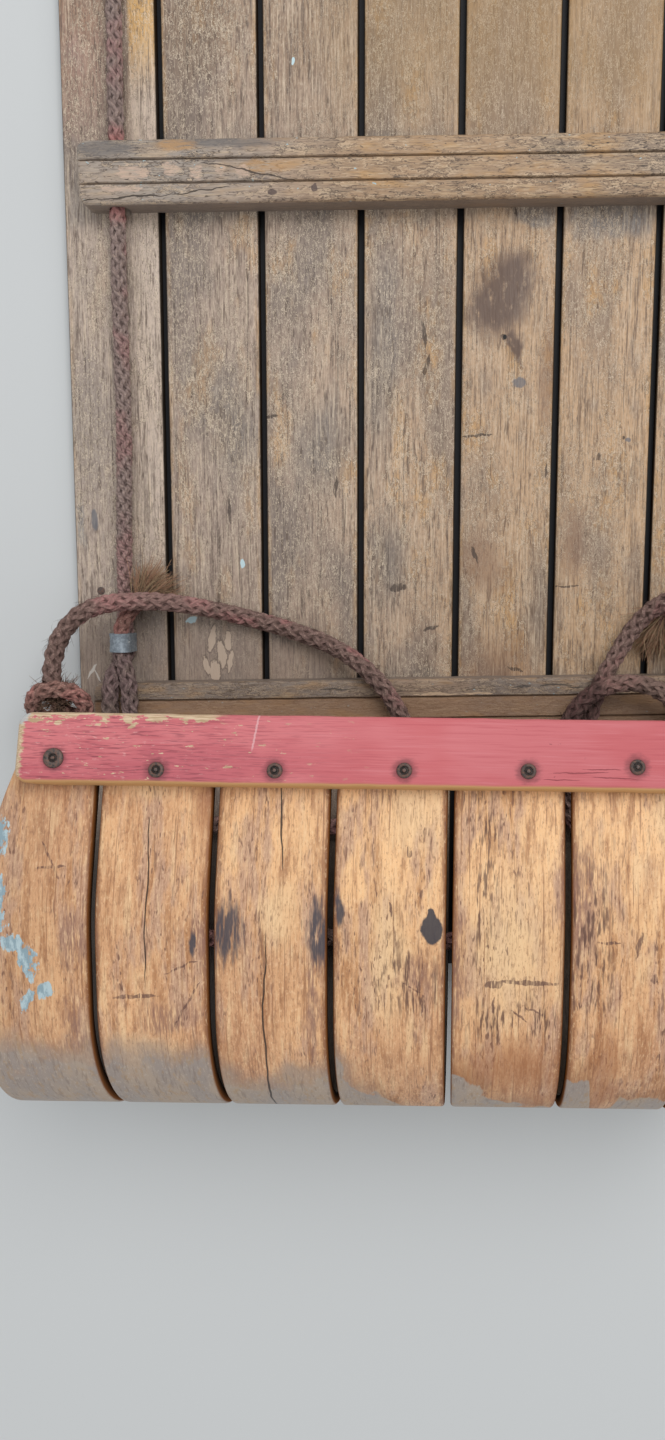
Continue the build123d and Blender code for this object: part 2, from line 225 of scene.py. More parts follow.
# Weather clouds and patches, flame figure, weathered ridges, streaks, fibres, pores, flakes of varnish and
# fine splits, all a little coarser than life, to show at all.
patterns = figure(
    tree, timber,
    ("cloud", 55, 150, 2, 0.5),
    ("patch", 20, 58, 4, 0.6),
    ("flame", 5, 42, 3, 0.6),
    ("ridge", 1.5, 34, 2, 0.6),
    ("streak", 1.7, 13, 2, 0.6),
    ("fibre", 0.9, 9, 2, 0.7),
    ("grit", 1.3, 3.2, 2, 0.7),
    ("pore", 1.2, 5.5, 1, 0.5),
    ("flake", 4.5, 11, 5, 0.7),
    ("scale", 2.4, 5.5, 3, 0.65),
    ("crackle", 8, 24, 5, 0.72),
    ("split", 1.1, 70, 1, 0.5),
    ("smear", 24, 34, 2, 0.5),
)
loose = bent(tree, board, 16, 0.020)
close = bent(tree, board, 4, 0.0035)

# The deck side: grey-brown and tan patches, flakes of old varnish, grey grain and dirt along the battens.
edge = (from_middle, 0.0255, 0.0290)
deck = coated(
    tree, linear("#ab9789"), patterns,
    ("#c8a684", 1, (across, -0.17, 0.13)),
    ("#7f736b", 0.75, ("cloud", 0.48, 0.64)),
    ("#cda16d", 0.8, ("patch", 0.52, 0.70), (across, -0.35, 0.05)),
    ("#b48a7e", 0.5, (across, -0.185, -0.200), (along, 1.08, 0.98)),
    ("#857870", 0.6, ("patch", 0.46, 0.30)),
)
# Greyed patches, a blue-grey residue before the second batten, and dirt along both sides of each batten.
greyed = spots(
    tree, loose, patterns["streak"], 0.6, 0.75,
    ((-0.0190, 1.170), 0.010, 0.050, 0), ((0.1330, 1.080), 0.025, 0.010, 0),
    ((-0.1150, 1.215), 0.016, 0.030, 0), ((-0.0560, 1.230), 0.016, 0.022, 0),
    ((-0.0140, 1.300), 0.012, 0.026, 0), ((0.0900, 1.330), 0.010, 0.045, 0),
)
deck = coated(tree, deck, patterns, ("#7b7570", 0.75, greyed))
blued = spots(
    tree, loose, patterns["flake"], 1.0, 0.4,
    ((0.1260, 1.083), 0.029, 0.014, 0), ((0.0780, 1.080), 0.013, 0.008, 0),
    ((-0.2165, 1.278), 0.003, 0.014, 0),
)
deck = coated(
    tree, deck, patterns,
    ("#74777a", 0.85, blued),
    ("#835f33", 0.42, (along, 1.07, 0.97), ("smear", 0.15, 0.55)),
    ("#c39a68", 0.55, edge, ("flame", 0.4, 0.6)),
)
beside = add(tree, "Math", TIMES_PLUS, {0: across, 1: tan(SKEW), 2: along})
beside = add(tree, "Math", {"operation": "SUBTRACT"}, {0: beside, 1: DECK_REAR - BATTEN_FRONT_Y})
beside = add(tree, "Math", {"operation": "PINGPONG"}, {0: beside, 1: BATTEN_SPACING / 2})
beside = add(tree, "Math", TIMES_PLUS, {0: patterns["smear"], 1: 0.040, 2: beside})
deck = coated(tree, deck, patterns, ("#75706b", 0.6, (beside, 0.048, 0.036)))
# Beside the left rope the boards were sheltered: pale behind the ferrule, and still amber farther back.
sheltered = ((across, -0.1785, -0.1755), (across, -0.1580, -0.1600))
deck = coated(
    tree, deck, patterns,
    ("#cbb6a4", 0.85, *sheltered, (along, 1.34, 1.24)),
    ("#d6a763", 0.9, *sheltered, (along, 1.02, 0.970)),
    ("#cdbcae", 0.3, (across, -0.156, -0.160), (along, 1.04, 1.08)),
    ("#6b5b50", 0.5, ("flame", 0.54, 0.74)),
)
# The weathered grain: ridges, fibres, streaks, splits and grit.
checked = ("cloud", 0.56, 0.46)
deck = coated(
    tree, deck, patterns,
    ("#dac5ab", 0.5, checked, ("ridge", 0.47, 0.33)),
    ("#65554a", 0.65, checked, ("ridge", 0.53, 0.68)),
    ("#e2cfb6", 0.4, ("fibre", 0.46, 0.30)),
    ("#5f5046", 0.45, ("fibre", 0.52, 0.70)),
    ("#5b4a3f", 0.7, ("streak", 0.57, 0.70)),
    ("#4e4037", 0.6, ("split", 0.655, 0.70)),
    ("#6b5d53", 0.36, ("grit", 0.55, 0.70)),
    ("#dfcdb6", 0.3, ("grit", 0.45, 0.31)),
)
# Flakes and crackle of old varnish, each edge given a painted highlight on one side and a painted shadow on
# the other.
for name, area in (("flake", ("patch", 0.50, 0.58)), ("scale", ("cloud", 0.44, 0.54))):
    deck = coated(
        tree, deck, patterns,
        ("#dfccb3", 0.7, (name, 0.530, 0.540), (name, 0.575, 0.555), area),
        ("#54463d", 0.6, (name, 0.500, 0.515), (name, 0.536, 0.528), area),
    )
for level in (0.445, 0.565):
    highlight_rim = (("crackle", level, level + 0.004), ("crackle", level + 0.018, level + 0.010))
    shadow_rim = (("crackle", level - 0.010, level - 0.005), ("crackle", level + 0.003, level))
    deck = coated(
        tree, deck, patterns,
        ("#dcc9b1", 0.5, *highlight_rim, ("smear", 0.44, 0.54)),
        ("#443830", 0.75, *shadow_rim, ("smear", 0.44, 0.54)),
    )
# Brown patina, one dark stain, the tan that some boards have kept, and a painted shadow of grey behind the
# front batten.
patina = spots(
    tree, loose, patterns["patch"], 0.9, 0.6,
    ((0.0600, 1.372), 0.022, 0.020, 0), ((0.0500, 1.300), 0.014, 0.018, 20),
    ((0.1100, 1.290), 0.008, 0.022, 0), ((0.0900, 1.180), 0.006, 0.030, 0),
)
deck = coated(tree, deck, patterns, ("#80604e", 0.5, patina))
stains = spots(
    tree, loose, patterns["patch"], 0.9, 0.42,
    ((0.0570, 1.136), 0.018, 0.021, -20), ((0.0660, 1.120), 0.014, 0.016, 0),
    ((0.0690, 1.162), 0.004, 0.012, 8),
)
deck = coated(
    tree, deck, patterns,
    ("#564846", 0.93, stains, ("flake", 0.76, 0.52)),
    ("#9d8058", 0.45, (along, 1.075, 0.98), (across, -0.09, 0.0)),
    ("#a87c48", 0.12, (across, -0.03, 0.06)),
    # Painted shadow: the deck greyed just behind the front batten, right of the middle.
    ("#8a776b", 0.55, (along, 1.325, 1.365), (across, -0.02, -0.06)),
)
# Peeled flakes, a pale wisp, nicks, blue flecks, a pinhole and grey drips, at their places on the deck.
peeled = spots(
    tree, close, patterns["flake"], 1.8, 0.3,
    ((-0.1311, 1.3540), 0.0025, 0.0090, -8), ((-0.1246, 1.3640), 0.0030, 0.0100, 6),
    ((-0.1204, 1.3540), 0.0022, 0.0070, 0), ((-0.1347, 1.3710), 0.0022, 0.0060, 10),
    ((-0.1290, 1.3745), 0.0034, 0.0070, 8), ((-0.1190, 1.3680), 0.0014, 0.0070, -8),
)
deck = coated(
    tree, deck, patterns,
    ("#5a4a40", 0.5, (peeled, 0.10, 0.30)),
    ("#c8b29e", 0.85, (peeled, 0.45, 0.70)),
)
wisp = spots(
    tree, close, patterns["flake"], 1.2, 0.1,
    ((-0.2120, 1.3760), 0.0008, 0.0060, -30), ((-0.2085, 1.3790), 0.0006, 0.0050, 25),
)
deck = coated(tree, deck, patterns, ("#d9d3cb", 0.7, wisp))
nicks = spots(
    tree, close, patterns["flake"], 1.6, 0.1,
    ((-0.0065, 1.3175), 0.0055, 0.0025, 5), ((0.0155, 1.3440), 0.0060, 0.0012, 18),
    ((0.0600, 1.1560), 0.0011, 0.0018, 0), ((0.0095, 1.1560), 0.0012, 0.0080, 10),
    ((0.0110, 1.1740), 0.0014, 0.0080, -14), ((0.0725, 1.3710), 0.0060, 0.0010, -12),
    ((0.0650, 1.0765), 0.0016, 0.0060, 25), ((0.1570, 1.0800), 0.0008, 0.0070, 12),
    ((0.1243, 1.2308), 0.0014, 0.0024, 0), ((0.0440, 1.2950), 0.0012, 0.0060, 20),
    ((0.0900, 1.2400), 0.0010, 0.0045, 0), ((0.1220, 1.2320), 0.0013, 0.0013, 0),
    ((0.1400, 1.2180), 0.0012, 0.0015, 0), ((-0.0480, 1.2530), 0.0010, 0.0075, -6),
    ((-0.0900, 1.2080), 0.0060, 0.0009, 6), ((0.1060, 1.3150), 0.0075, 0.0007, 4),
    ((-0.1180, 1.2700), 0.0009, 0.0080, 3), ((0.0450, 1.2180), 0.0110, 0.0007, 3),
)
deck = coated(tree, deck, patterns, ("#43362f", 0.8, nicks, ("fibre", 0.30, 0.50)))
pinhole = spots(tree, board, patterns["flake"], 0.3, 0.2, ((0.0613, 1.1560), 0.0012, 0.0016, 0))
flecks = spots(
    tree, close, patterns["flake"], 1.4, 0.1,
    ((-0.1450, 1.3410), 0.0042, 0.0022, 20), ((-0.1102, 1.3030), 0.0017, 0.0026, 0),
    ((-0.0745, 0.9920), 0.0012, 0.0022, 0),
)
deck = coated(tree, deck, patterns, ("#c4dbe0", 1, flecks), ("#120f0e", 1, pinhole))
drips = spots(
    tree, close, patterns["flake"], 1.2, 0.2,
    ((0.0710, 1.1846), 0.0042, 0.0034, 20), ((0.1429, 1.2197), 0.0018, 0.0016, 0),
    ((-0.2071, 1.2760), 0.0022, 0.0070, 0),
)
deck = coated(tree, deck, patterns, ("#66686f", 0.75, drips))

# The curl and the running side: amber varnish, rubbed through to pink-grey wood with dark pores.
amber = coated(
    tree, linear("#c8956b"), patterns,
    ("#e0ad7c", 1, ("cloud", 0.36, 0.60)),
    # Painted light: the curl paler over its top, left of the middle.
    ("#ffce93", 0.75, (along, 1.78, 1.90), (across, -0.20, 0.02)),
    ("#a06a3d", 0.75, ("flame", 0.51, 0.68)),
    ("#ecc898", 0.6, ("flame", 0.47, 0.33)),
    ("#a97b55", 0.6, ("patch", 0.42, 0.28)),
    ("#b8937b", 0.8, ("patch", 0.47, 0.60), ("flame", 0.62, 0.44)),
)
# Light areas, dark edges and the fine grain of the curl.
lightened = spots(
    tree, loose, patterns["flame"], 1.0, 0.8,
    ((-0.0600, 1.856), 0.008, 0.013, 0), ((-0.0020, 1.835), 0.008, 0.030, 0),
    ((-0.1330, 1.925), 0.014, 0.007, 0), ((0.0640, 1.838), 0.018, 0.034, 0),
    ((0.0110, 1.915), 0.013, 0.022, 0), ((0.1500, 1.915), 0.008, 0.022, 0),
    ((-0.1330, 1.775), 0.018, 0.010, 0),
)
amber = coated(
    tree, amber, patterns,
    ("#efcb9a", 0.8, lightened),
    ("#8a5628", 0.85, edge, ("flame", 0.36, 0.52)),
    ("#74461f", 0.7, (from_middle, 0.0275, 0.0292)),
    ("#7d5637", 0.5, ("fibre", 0.51, 0.68)),
    ("#85593c", 0.5, ("grit", 0.55, 0.69)),
    ("#ffd9ab", 0.35, ("grit", 0.45, 0.31)),
    ("#f0cf9f", 0.4, ("fibre", 0.45, 0.32)),
)
dense = ("patch", 0.42, 0.60)
amber = coated(
    tree, amber, patterns,
    ("#5f4031", 0.65, ("streak", 0.58, 0.68), dense),
    ("#55372a", 0.8, ("pore", 0.64, 0.72), dense),
    ("#8d5f3d", 0.7, ("split", 0.66, 0.70)),
)
# Dim and sappy streaks.
dim = spots(
    tree, loose, patterns["streak"], 1.0, 0.8,
    ((-0.1670, 1.842), 0.008, 0.014, 0), ((-0.1690, 1.783), 0.006, 0.030, 0),
    ((-0.0400, 1.810), 0.004, 0.035, 0), ((0.0350, 1.825), 0.005, 0.035, 0),
    ((0.1020, 1.865), 0.010, 0.030, 0), ((-0.1200, 1.800), 0.014, 0.007, 0),
    ((-0.1000, 1.840), 0.004, 0.014, 0), ((0.0150, 1.825), 0.010, 0.012, 0),
)
amber = coated(tree, amber, patterns, ("#7d5a4e", 0.75, dim, ("fibre", 0.30, 0.60)))
sappy = spots(
    tree, loose, patterns["flame"], 1.0, 0.7,
    ((-0.1000, 1.925), 0.005, 0.035, 0), ((0.0650, 1.768), 0.026, 0.018, 0),
    ((0.1180, 1.745), 0.007, 0.050, 0), ((0.0840, 1.740), 0.012, 0.014, 0),
    ((0.0400, 1.758), 0.006, 0.020, 0), ((-0.0880, 1.760), 0.006, 0.022, 0),
)
amber = coated(
    tree, amber, patterns,
    ("#985c2b", 0.6, sappy),
    ("#ffbfa1", 0.08),
    ("#80604a", 0.22, (across, -0.15, -0.21)),
)
# Scuffs, two burns, a hard knot and the scores of hard use.
scuffed = spots(
    tree, loose, patterns["patch"], 1.0, 0.6,
    ((0.0100, 1.822), 0.020, 0.020, 0), ((0.0660, 1.800), 0.026, 0.012, 0),
    ((0.1080, 1.845), 0.012, 0.040, 0), ((0.0500, 1.880), 0.006, 0.040, 0),
)
amber = coated(tree, amber, patterns, ("#5a3d33", 0.75, scuffed, ("streak", 0.50, 0.62)))
burns = spots(
    tree, close, patterns["streak"], 1.5, 0.45,
    ((-0.0865, 1.8465), 0.0075, 0.0150, 6), ((-0.0375, 1.8470), 0.0060, 0.0150, -4),
    ((-0.1045, 1.8400), 0.0018, 0.0050, 0), ((-0.0270, 1.8600), 0.0022, 0.0090, -8),
)
amber = coated(tree, amber, patterns, ("#45424a", 0.92, burns, ("streak", 0.2, 0.5)))
hard_knot = spots(
    tree, close, patterns["flake"], 0.6, 0.1,
    ((0.0227, 1.8495), 0.0055, 0.0078, 0), ((0.0222, 1.8560), 0.0022, 0.0042, 0),
)
amber = coated(tree, amber, patterns, ("#3b3a41", 0.95, hard_knot))
scores = spots(
    tree, close, patterns["flake"], 1.2, 0.1,
    ((0.0560, 1.8205), 0.0045, 0.0022, 0), ((0.0750, 1.8215), 0.0160, 0.0013, 2),
    ((-0.1820, 1.8790), 0.0080, 0.0007, -3), ((-0.1820, 1.8830), 0.0115, 0.0007, 62),
    ((-0.1090, 1.8060), 0.0150, 0.0006, -60), ((-0.1110, 1.8275), 0.0095, 0.0006, -26),
    ((-0.1360, 1.8110), 0.0130, 0.0011, -3), ((0.0180, 1.8080), 0.0009, 0.0060, 6),
    ((0.0010, 1.8580), 0.0009, 0.0045, -12), ((0.0100, 1.8900), 0.0012, 0.0030, -10),
    ((0.0560, 1.8080), 0.0008, 0.0050, 0), ((0.0700, 1.8030), 0.0055, 0.0006, 35),
    ((0.0790, 1.8050), 0.0065, 0.0006, 30), ((0.1165, 1.8440), 0.0060, 0.0008, 0),
    ((0.1330, 1.8420), 0.0012, 0.0085, 14), ((0.1420, 1.8250), 0.0018, 0.0024, 0),
    ((0.0120, 1.8180), 0.0060, 0.0006, 28),
)
amber = coated(tree, amber, patterns, ("#5d3f38", 0.75, scores, ("fibre", 0.30, 0.55)))
# Chalky blue paint rubbed off on the left slat.
chalk = spots(
    tree, bent(tree, board, 9, 0.012), patterns["flake"], 3.2, 0.06,
    ((-0.2095, 1.8960), 0.0030, 0.0110, 0), ((-0.2085, 1.8580), 0.0045, 0.0140, 8),
    ((-0.2000, 1.8400), 0.0070, 0.0045, 24), ((-0.1930, 1.8310), 0.0045, 0.0095, -14),
    ((-0.1845, 1.8140), 0.0045, 0.0045, 10), ((-0.1930, 1.8085), 0.0028, 0.0068, 28),
)
blue = coated(tree, linear("#8ba1aa"), patterns, ("#b3c6cb", 1, ("flake", 0.45, 0.60)))
amber = coated(tree, amber, patterns, (blue, 1, chalk))
# Where the curl leaves the deck its varnish ends in a ragged line, given by places across the sled, and the
# wood before it is raw.
WORN_REACH = 0.22
WORN_FROM = 1.698
WORN_RANGE = 0.090
share = add(tree, "MapRange", {}, {"Value": across, "From Min": -WORN_REACH, "From Max": WORN_REACH})
ramp = add(tree, "ValToRGB", {}, {0: share})
for x, level in (
    (-0.157, 1.772), (-0.155, 1.766), (-0.100, 1.773), (-0.094, 1.752), (-0.060, 1.744), (-0.034, 1.762),
    (-0.030, 1.772), (-0.005, 1.742), (0.015, 1.712), (0.0295, 1.696), (0.0335, 1.768), (0.055, 1.746),
    (0.0736, 1.728), (0.093, 1.715), (0.0965, 1.758), (0.110, 1.762), (0.116, 1.694), (0.124, 1.698),
    (0.128, 1.745), (0.157, 1.752), (0.160, 1.768),
):
    step = ramp.node.color_ramp.elements.new((x / WORN_REACH + 1) / 2)
    step.color = (*[(level - WORN_FROM) / WORN_RANGE] * 3, 1)
for step in (ramp.node.color_ramp.elements[0], ramp.node.color_ramp.elements[-1]):
    step.color = (0.8, 0.8, 0.8, 1)
level = add(tree, "Math", TIMES_PLUS, {0: ramp, 1: WORN_RANGE, 2: WORN_FROM})
worn_line = add(tree, "Math", {"operation": "SUBTRACT"}, {0: along, 1: level})
worn_line = add(tree, "Math", TIMES_PLUS, {0: patterns["smear"], 1: -0.050, 2: worn_line})
worn_line = add(tree, "Math", TIMES_PLUS, {0: patterns["flake"], 1: -0.014, 2: worn_line})
amber = coated(tree, amber, patterns, ("#8f5c30", 0.4, (worn_line, -0.012, -0.029)))
raw = coated(
    tree, linear("#9c8e85"), patterns,
    ("#ad9a89", 1, ("patch", 0.4, 0.6)),
    ("#7d6d63", 0.5, ("streak", 0.54, 0.70)),
    ("#a98a68", 0.55, ("flake", 0.53, 0.62)),
    ("#c2b3a3", 0.4, ("grit", 0.46, 0.32)),
)
amber = coated(
    tree, amber, patterns,
    (raw, 0.8, (worn_line, -0.008, -0.033), (across, 0.01, -0.05)),
    (raw, 1, (worn_line, -0.0308, -0.0334)),
)
# Three long checks, open along the grain.
wobble = add(tree, "Math", TIMES_PLUS, {0: patterns["smear"], 1: 0.006, 2: across})
wobble = add(tree, "CombineXYZ", {}, {0: wobble, 1: along})
checks = spots(
    tree, wobble, patterns["streak"], 0.5, 0.1,
    ((-0.0642, 1.762), 0.00055, 0.088, 0.8), ((-0.0560, 1.905), 0.00045, 0.026, -2.5),
    ((-0.1265, 1.860), 0.0004, 0.045, 0.6),
)
amber = coated(tree, amber, patterns, ("#2c1f19", 0.9, checks))

# Deck, curl and the walls of the gaps come together.
# Painted shade: the deck near black under the curl, where the curl shades it.
deck = coated(tree, deck, patterns, ("#241c17", 0.85, (along, 1.44, 1.52)))
on_curl = ((out, -0.0038, -0.0030), (along, 1.46, 1.56))
# Painted shade: the walls of the gaps near black, with amber varnish only towards the outer face on the curl.
gap_wall_shade = coated(tree, linear("#1b130e"), patterns, ("#7d4c27", 1, *on_curl, (out, -0.0025, 0.0030)))
wood = coated(tree, deck, patterns, (amber, 1, *on_curl), (gap_wall_shade, 0.95, (from_middle, 0.0289, 0.0298)))
ends = {"Value": from_middle, "From Min": 0.0298, "From Max": 0.0290, "To Max": 0.4}
gloss = add(tree, "MapRange", SMOOTH, ends)
ends = {"Value": patterns["patch"], "From Min": 0.35, "From Max": 0.65, "To Min": 0.42, "To Max": 0.62}
rough = add(tree, "MapRange", SMOOTH, ends)
height = add(tree, "Math", TIMES_PLUS, {0: patterns["fibre"], 1: 0.5, 2: patterns["streak"]})
height = add(tree, "Math", TIMES_PLUS, {0: checks, 1: -1.5, 2: height})
looks = {"Base Color": wood, "Roughness": rough, "Specular IOR Level": gloss}
surface(tree, shader, height, 0.6, 0.0006, looks)

for slat in range(SLAT_COUNT):
    middle = (slat - SLAT_COUNT // 2) * SLAT_PITCH
    side = -1 if middle < 0 else 1
    work = bmesh.new()
    section = Matrix.Translation((middle, DECK_REAR, SLAT_THICK / 2)) @ Matrix.Rotation(pi / 2, 4, "X")
    section = section @ Matrix.Diagonal((SLAT_WIDTH, SLAT_THICK, 1, 1))
    bmesh.ops.create_grid(work, x_segments=6, y_segments=1, size=0.5, matrix=section)
    corners = [vert for vert in work.verts if len(vert.link_edges) == 2]
    bmesh.ops.bevel(
        work, geom=corners, offset=SLAT_EDGE, offset_type="OFFSET", segments=3, profile=0.5,
        affect="VERTICES", material=-1,
    )
    end = work.faces[:]
    for steps, angle, centre, shift in (
        (110, 0, (0, 0, 0), (0, -DECK_RUN / 110, 0)),
        (48, -pi, (0, CURL_Y, SLAT_THICK / 2 + CURL_RADIUS), (0, 0, 0)),
        (3, 0, (0, 0, 0), (0, CURL_FLAT / 3, 0)),
        (6, -HOOK, (0, CURL_Y + CURL_FLAT, CURL_TOP - HOOK_RADIUS), (0, 0, 0)),
        (12, 0, (0, 0, 0), Vector((0, cos(HOOK), -sin(HOOK))) * TIP_RUN / 12),
    ):
        spun = bmesh.ops.spin(
            work, geom=end, cent=centre, axis=(1, 0, 0), dvec=shift, angle=angle, steps=steps
        )
        end = spun["geom_last"]
    bmesh.ops.recalc_face_normals(work, faces=work.faces[:])
    tip_y = max(vert.co.y for vert in work.verts if vert.co.z > CURL_RADIUS + SLAT_THICK)
    if slat in (0, SLAT_COUNT - 1):
        inner, outer = middle - side * SLAT_WIDTH / 2, middle + side * SLAT_WIDTH / 2
        for vert in work.verts:
            share = (vert.co.y - tip_y + TAPER_START) / TAPER_START
            if vert.co.z > 3 * CURL_RADIUS / 2 and share > 0:
                bulge = 4 * TAPER_BULGE * share * (1 - share)
                outline = outer - side * ((abs(outer) - TIP_HALF_WIDTH) * share - bulge)
                vert.co.x = inner + (vert.co.x - inner) * (outline - inner) / (outer - inner)
    made = new_piece(f"board_{slat + 1}", work, slat_wood, "slat_wood", f"slat_{slat + 1}")
    keep_local(made, [unbend(vert.co) for vert in made.data.vertices])

# Battens: five hardwood bars across the deck, round at the corners, with two V-grooves run along the top.
# They are screwed on from below and hollowed where the side ropes pass; their varnish has cracked and flaked.
BATTEN_COUNT = 5
BATTEN_LENGTH = 0.412
BATTEN_WIDTH = 0.038
BATTEN_THICK = 0.017
BATTEN_CORNER = 0.006
BATTEN_EDGE = 0.0025
GROOVE_Y = 0.007
GROOVE_HALF = 0.001
GROOVE_DEPTH = 0.0014
NOTCH_DEPTH = 0.0124
EYE_X = 0.1863
EYE_NOTCH = 0.0130
ROPE_X = 0.184
ROPE_NOTCH = 0.0065


def rounded_bar(length, width, thick, corner, edge):
    """A bar standing on z 0, round at its four corners and along its upper edges."""
    bar = bmesh.new()
    block = Matrix.Translation((0, 0, thick / 2)) @ Matrix.Diagonal((length, width, thick, 1))
    bmesh.ops.create_cube(bar, size=1.0, matrix=block)
    posts = [e for e in bar.edges if abs(e.verts[0].co.z - e.verts[1].co.z) > thick / 2]
    bmesh.ops.bevel(
        bar, geom=posts, offset=corner, offset_type="OFFSET", segments=5, profile=0.5, affect="EDGES",
        material=-1,
    )
    rim = [e for e in bar.edges if min(v.co.z for v in e.verts) > thick * 0.99]
    bmesh.ops.bevel(
        bar, geom=rim, offset=edge, offset_type="OFFSET", segments=3, profile=0.5, affect="EDGES",
        material=-1,
    )
    return bar


def slice_bar(bar, cuts, normal):
    """Cuts a mesh through at several places along one direction."""
    for cut in cuts:
        everything = bar.verts[:] + bar.edges[:] + bar.faces[:]
        bmesh.ops.bisect_plane(
            bar, geom=everything, plane_co=Vector(normal) * cut, plane_no=normal, dist=1e-6
        )


# The noise takes its seed from the clock unless it is given one, and the wear has to be the same each run.
noise.seed_set(17)


def wear(bar, amount, size):
    """Rubs a mesh unevenly, by a noise of some size in metres."""
    for vert in bar.verts:
        vert.co += noise.noise_vector(vert.co / size) * amount


# Flaking varnished batten: patchy tan and grey to the eye, with dark-rimmed flakes and fine cracks, drier and
# rougher than the slats. The patterns are a little coarser than life, to show at all.
batten_wood, tree, shader = new_material("flaking_varnished_batten")
board = add(tree, "Attribute", {"attribute_name": "board"}, {})
across, along, out = add(tree, "SeparateXYZ", {}, {0: board}).node.outputs
patterns = figure(
    tree, board,
    ("patch", 9, 34, 3, 0.6),
    ("cloud", 40, 90, 2, 0.5),
    ("flame", 2.2, 30, 3, 0.65),
    ("fibre", 0.8, 8, 2, 0.65),
    ("flake", 5.5, 18, 5, 0.7),
    ("scale", 2.0, 6, 4, 0.7),
    ("crack", 7, 70, 4, 0.6),
    ("speck", 2.2, 4, 1, 0.5),
)
wood = coated(
    tree, linear("#ab9079"), patterns,
    ("#8d827a", 1, ("cloud", 0.46, 0.60)),
    ("#bf935f", 0.65, ("patch", 0.51, 0.68)),
    ("#84756a", 0.7, ("patch", 0.45, 0.32)),
    ("#a59c93", 0.6, (along, 1.40, 1.45), (along, 1.68, 1.54)),
    ("#ab8450", 0.32, (along, 1.60, 1.68), (along, 2.10, 2.00)),
    ("#75614f", 0.45, ("flame", 0.54, 0.68)),
    ("#cfb48f", 0.35, ("flame", 0.45, 0.33)),
    ("#66564a", 0.45, ("fibre", 0.54, 0.70)),
    ("#dcc8ad", 0.3, ("fibre", 0.45, 0.32)),
)
# Flakes of old varnish, each edge given a painted highlight on one side and a painted shadow on the other.
for name, area in (("flake", ("patch", 0.56, 0.46)), ("scale", ("cloud", 0.52, 0.60))):
    wood = coated(
        tree, wood, patterns,
        ("#d6bb9b", 0.5, (name, 0.530, 0.540), (name, 0.590, 0.565), area),
        ("#483a31", 0.6, (name, 0.490, 0.505), (name, 0.536, 0.528), area),
    )
for low, *area in ((0.500, ("cloud", 0.40, 0.55)), (0.575, 0.8), (0.430, 0.7)):
    crack = (("crack", low - 0.009, low - 0.002), ("crack", low + 0.007, low))
    wood = coated(tree, wood, patterns, ("#3a2e27", 1, *crack, *area))
wood = coated(
    tree, wood, patterns,
    ("#4b3c33", 0.7, ("speck", 0.70, 0.76)),
    ("#a9bfc2", 1, ("speck", 0.235, 0.225)),
)
# Smoke-grey, varnish, pink chips, cracks and dints of the second batten, then the flakes of the front one.
second = bent(tree, board, 9, 0.005)
smoked = spots(
    tree, second, patterns["flake"], 1.0, 0.5,
    ((0.0135, 1.512), 0.005, 0.020, 0), ((0.0160, 1.580), 0.003, 0.040, 0),
)
wood = coated(tree, wood, patterns, ("#6b6562", 0.75, smoked))
varnished = spots(
    tree, second, patterns["flake"], 1.4, 0.4,
    ((0.0148, 1.556), 0.0035, 0.012, 0), ((0.0020, 1.610), 0.004, 0.016, 0),
)
wood = coated(tree, wood, patterns, ("#bf925e", 0.65, varnished, ("fibre", 0.25, 0.55)))
pink_chips = spots(
    tree, second, patterns["scale"], 2.6, 0.12,
    ((-0.0005, 1.528), 0.0040, 0.010, 0), ((0.0010, 1.552), 0.0040, 0.005, 0),
    ((-0.0005, 1.568), 0.0045, 0.004, 0), ((0.0005, 1.583), 0.0040, 0.003, 0),
    ((-0.0010, 1.597), 0.0035, 0.004, 0), ((-0.0105, 1.520), 0.0020, 0.012, 0),
)
wood = coated(tree, wood, patterns, ("#cdb09b", 0.75, pink_chips, ("fibre", 0.30, 0.60)))
cracks = spots(
    tree, second, patterns["fibre"], 0.5, 0.1,
    ((-0.0005, 1.5997), 0.00045, 0.0330, -12), ((-0.0152, 1.5250), 0.00050, 0.0300, 3),
    ((-0.0119, 1.5704), 0.00045, 0.0180, 6),
)
wood = coated(tree, wood, patterns, ("#33281f", 0.85, cracks))
dints = spots(
    tree, second, patterns["scale"], 1.0, 0.1,
    ((-0.0134, 1.6144), 0.0016, 0.0030, 0), ((-0.0115, 1.6411), 0.0020, 0.0022, 20),
)
wood = coated(tree, wood, patterns, ("#4c3b3a", 0.8, dints))
front_batten = (along, 0.32, 0.26)
wood = coated(
    tree, wood, patterns,
    ("#8d684a", 0.72, front_batten, (across, 0.0085, 0.0065)),
    ("#6b5340", 0.42, front_batten, (across, 0.0060, 0.0085)),
)
front_flakes = spots(
    tree, second, patterns["scale"], 2.8, 0.2,
    ((0.0128, 0.0780), 0.0006, 0.0070, 0), ((0.0134, 0.0980), 0.0006, 0.0100, 0),
    ((0.0122, 0.1120), 0.0005, 0.0050, 0), ((0.0128, -0.0450), 0.0005, 0.0120, 0),
    ((0.0115, -0.0100), 0.0004, 0.0080, 0),
)
wood = coated(tree, wood, patterns, ("#352c27", 0.75, front_flakes))
pale_flakes = spots(
    tree, second, patterns["scale"], 1.4, 0.1,
    ((0.0088, 0.0200), 0.0008, 0.0140, 0), ((0.0092, 0.0480), 0.0007, 0.0100, 0),
    ((0.0090, 0.1500), 0.0008, 0.0120, 0),
)
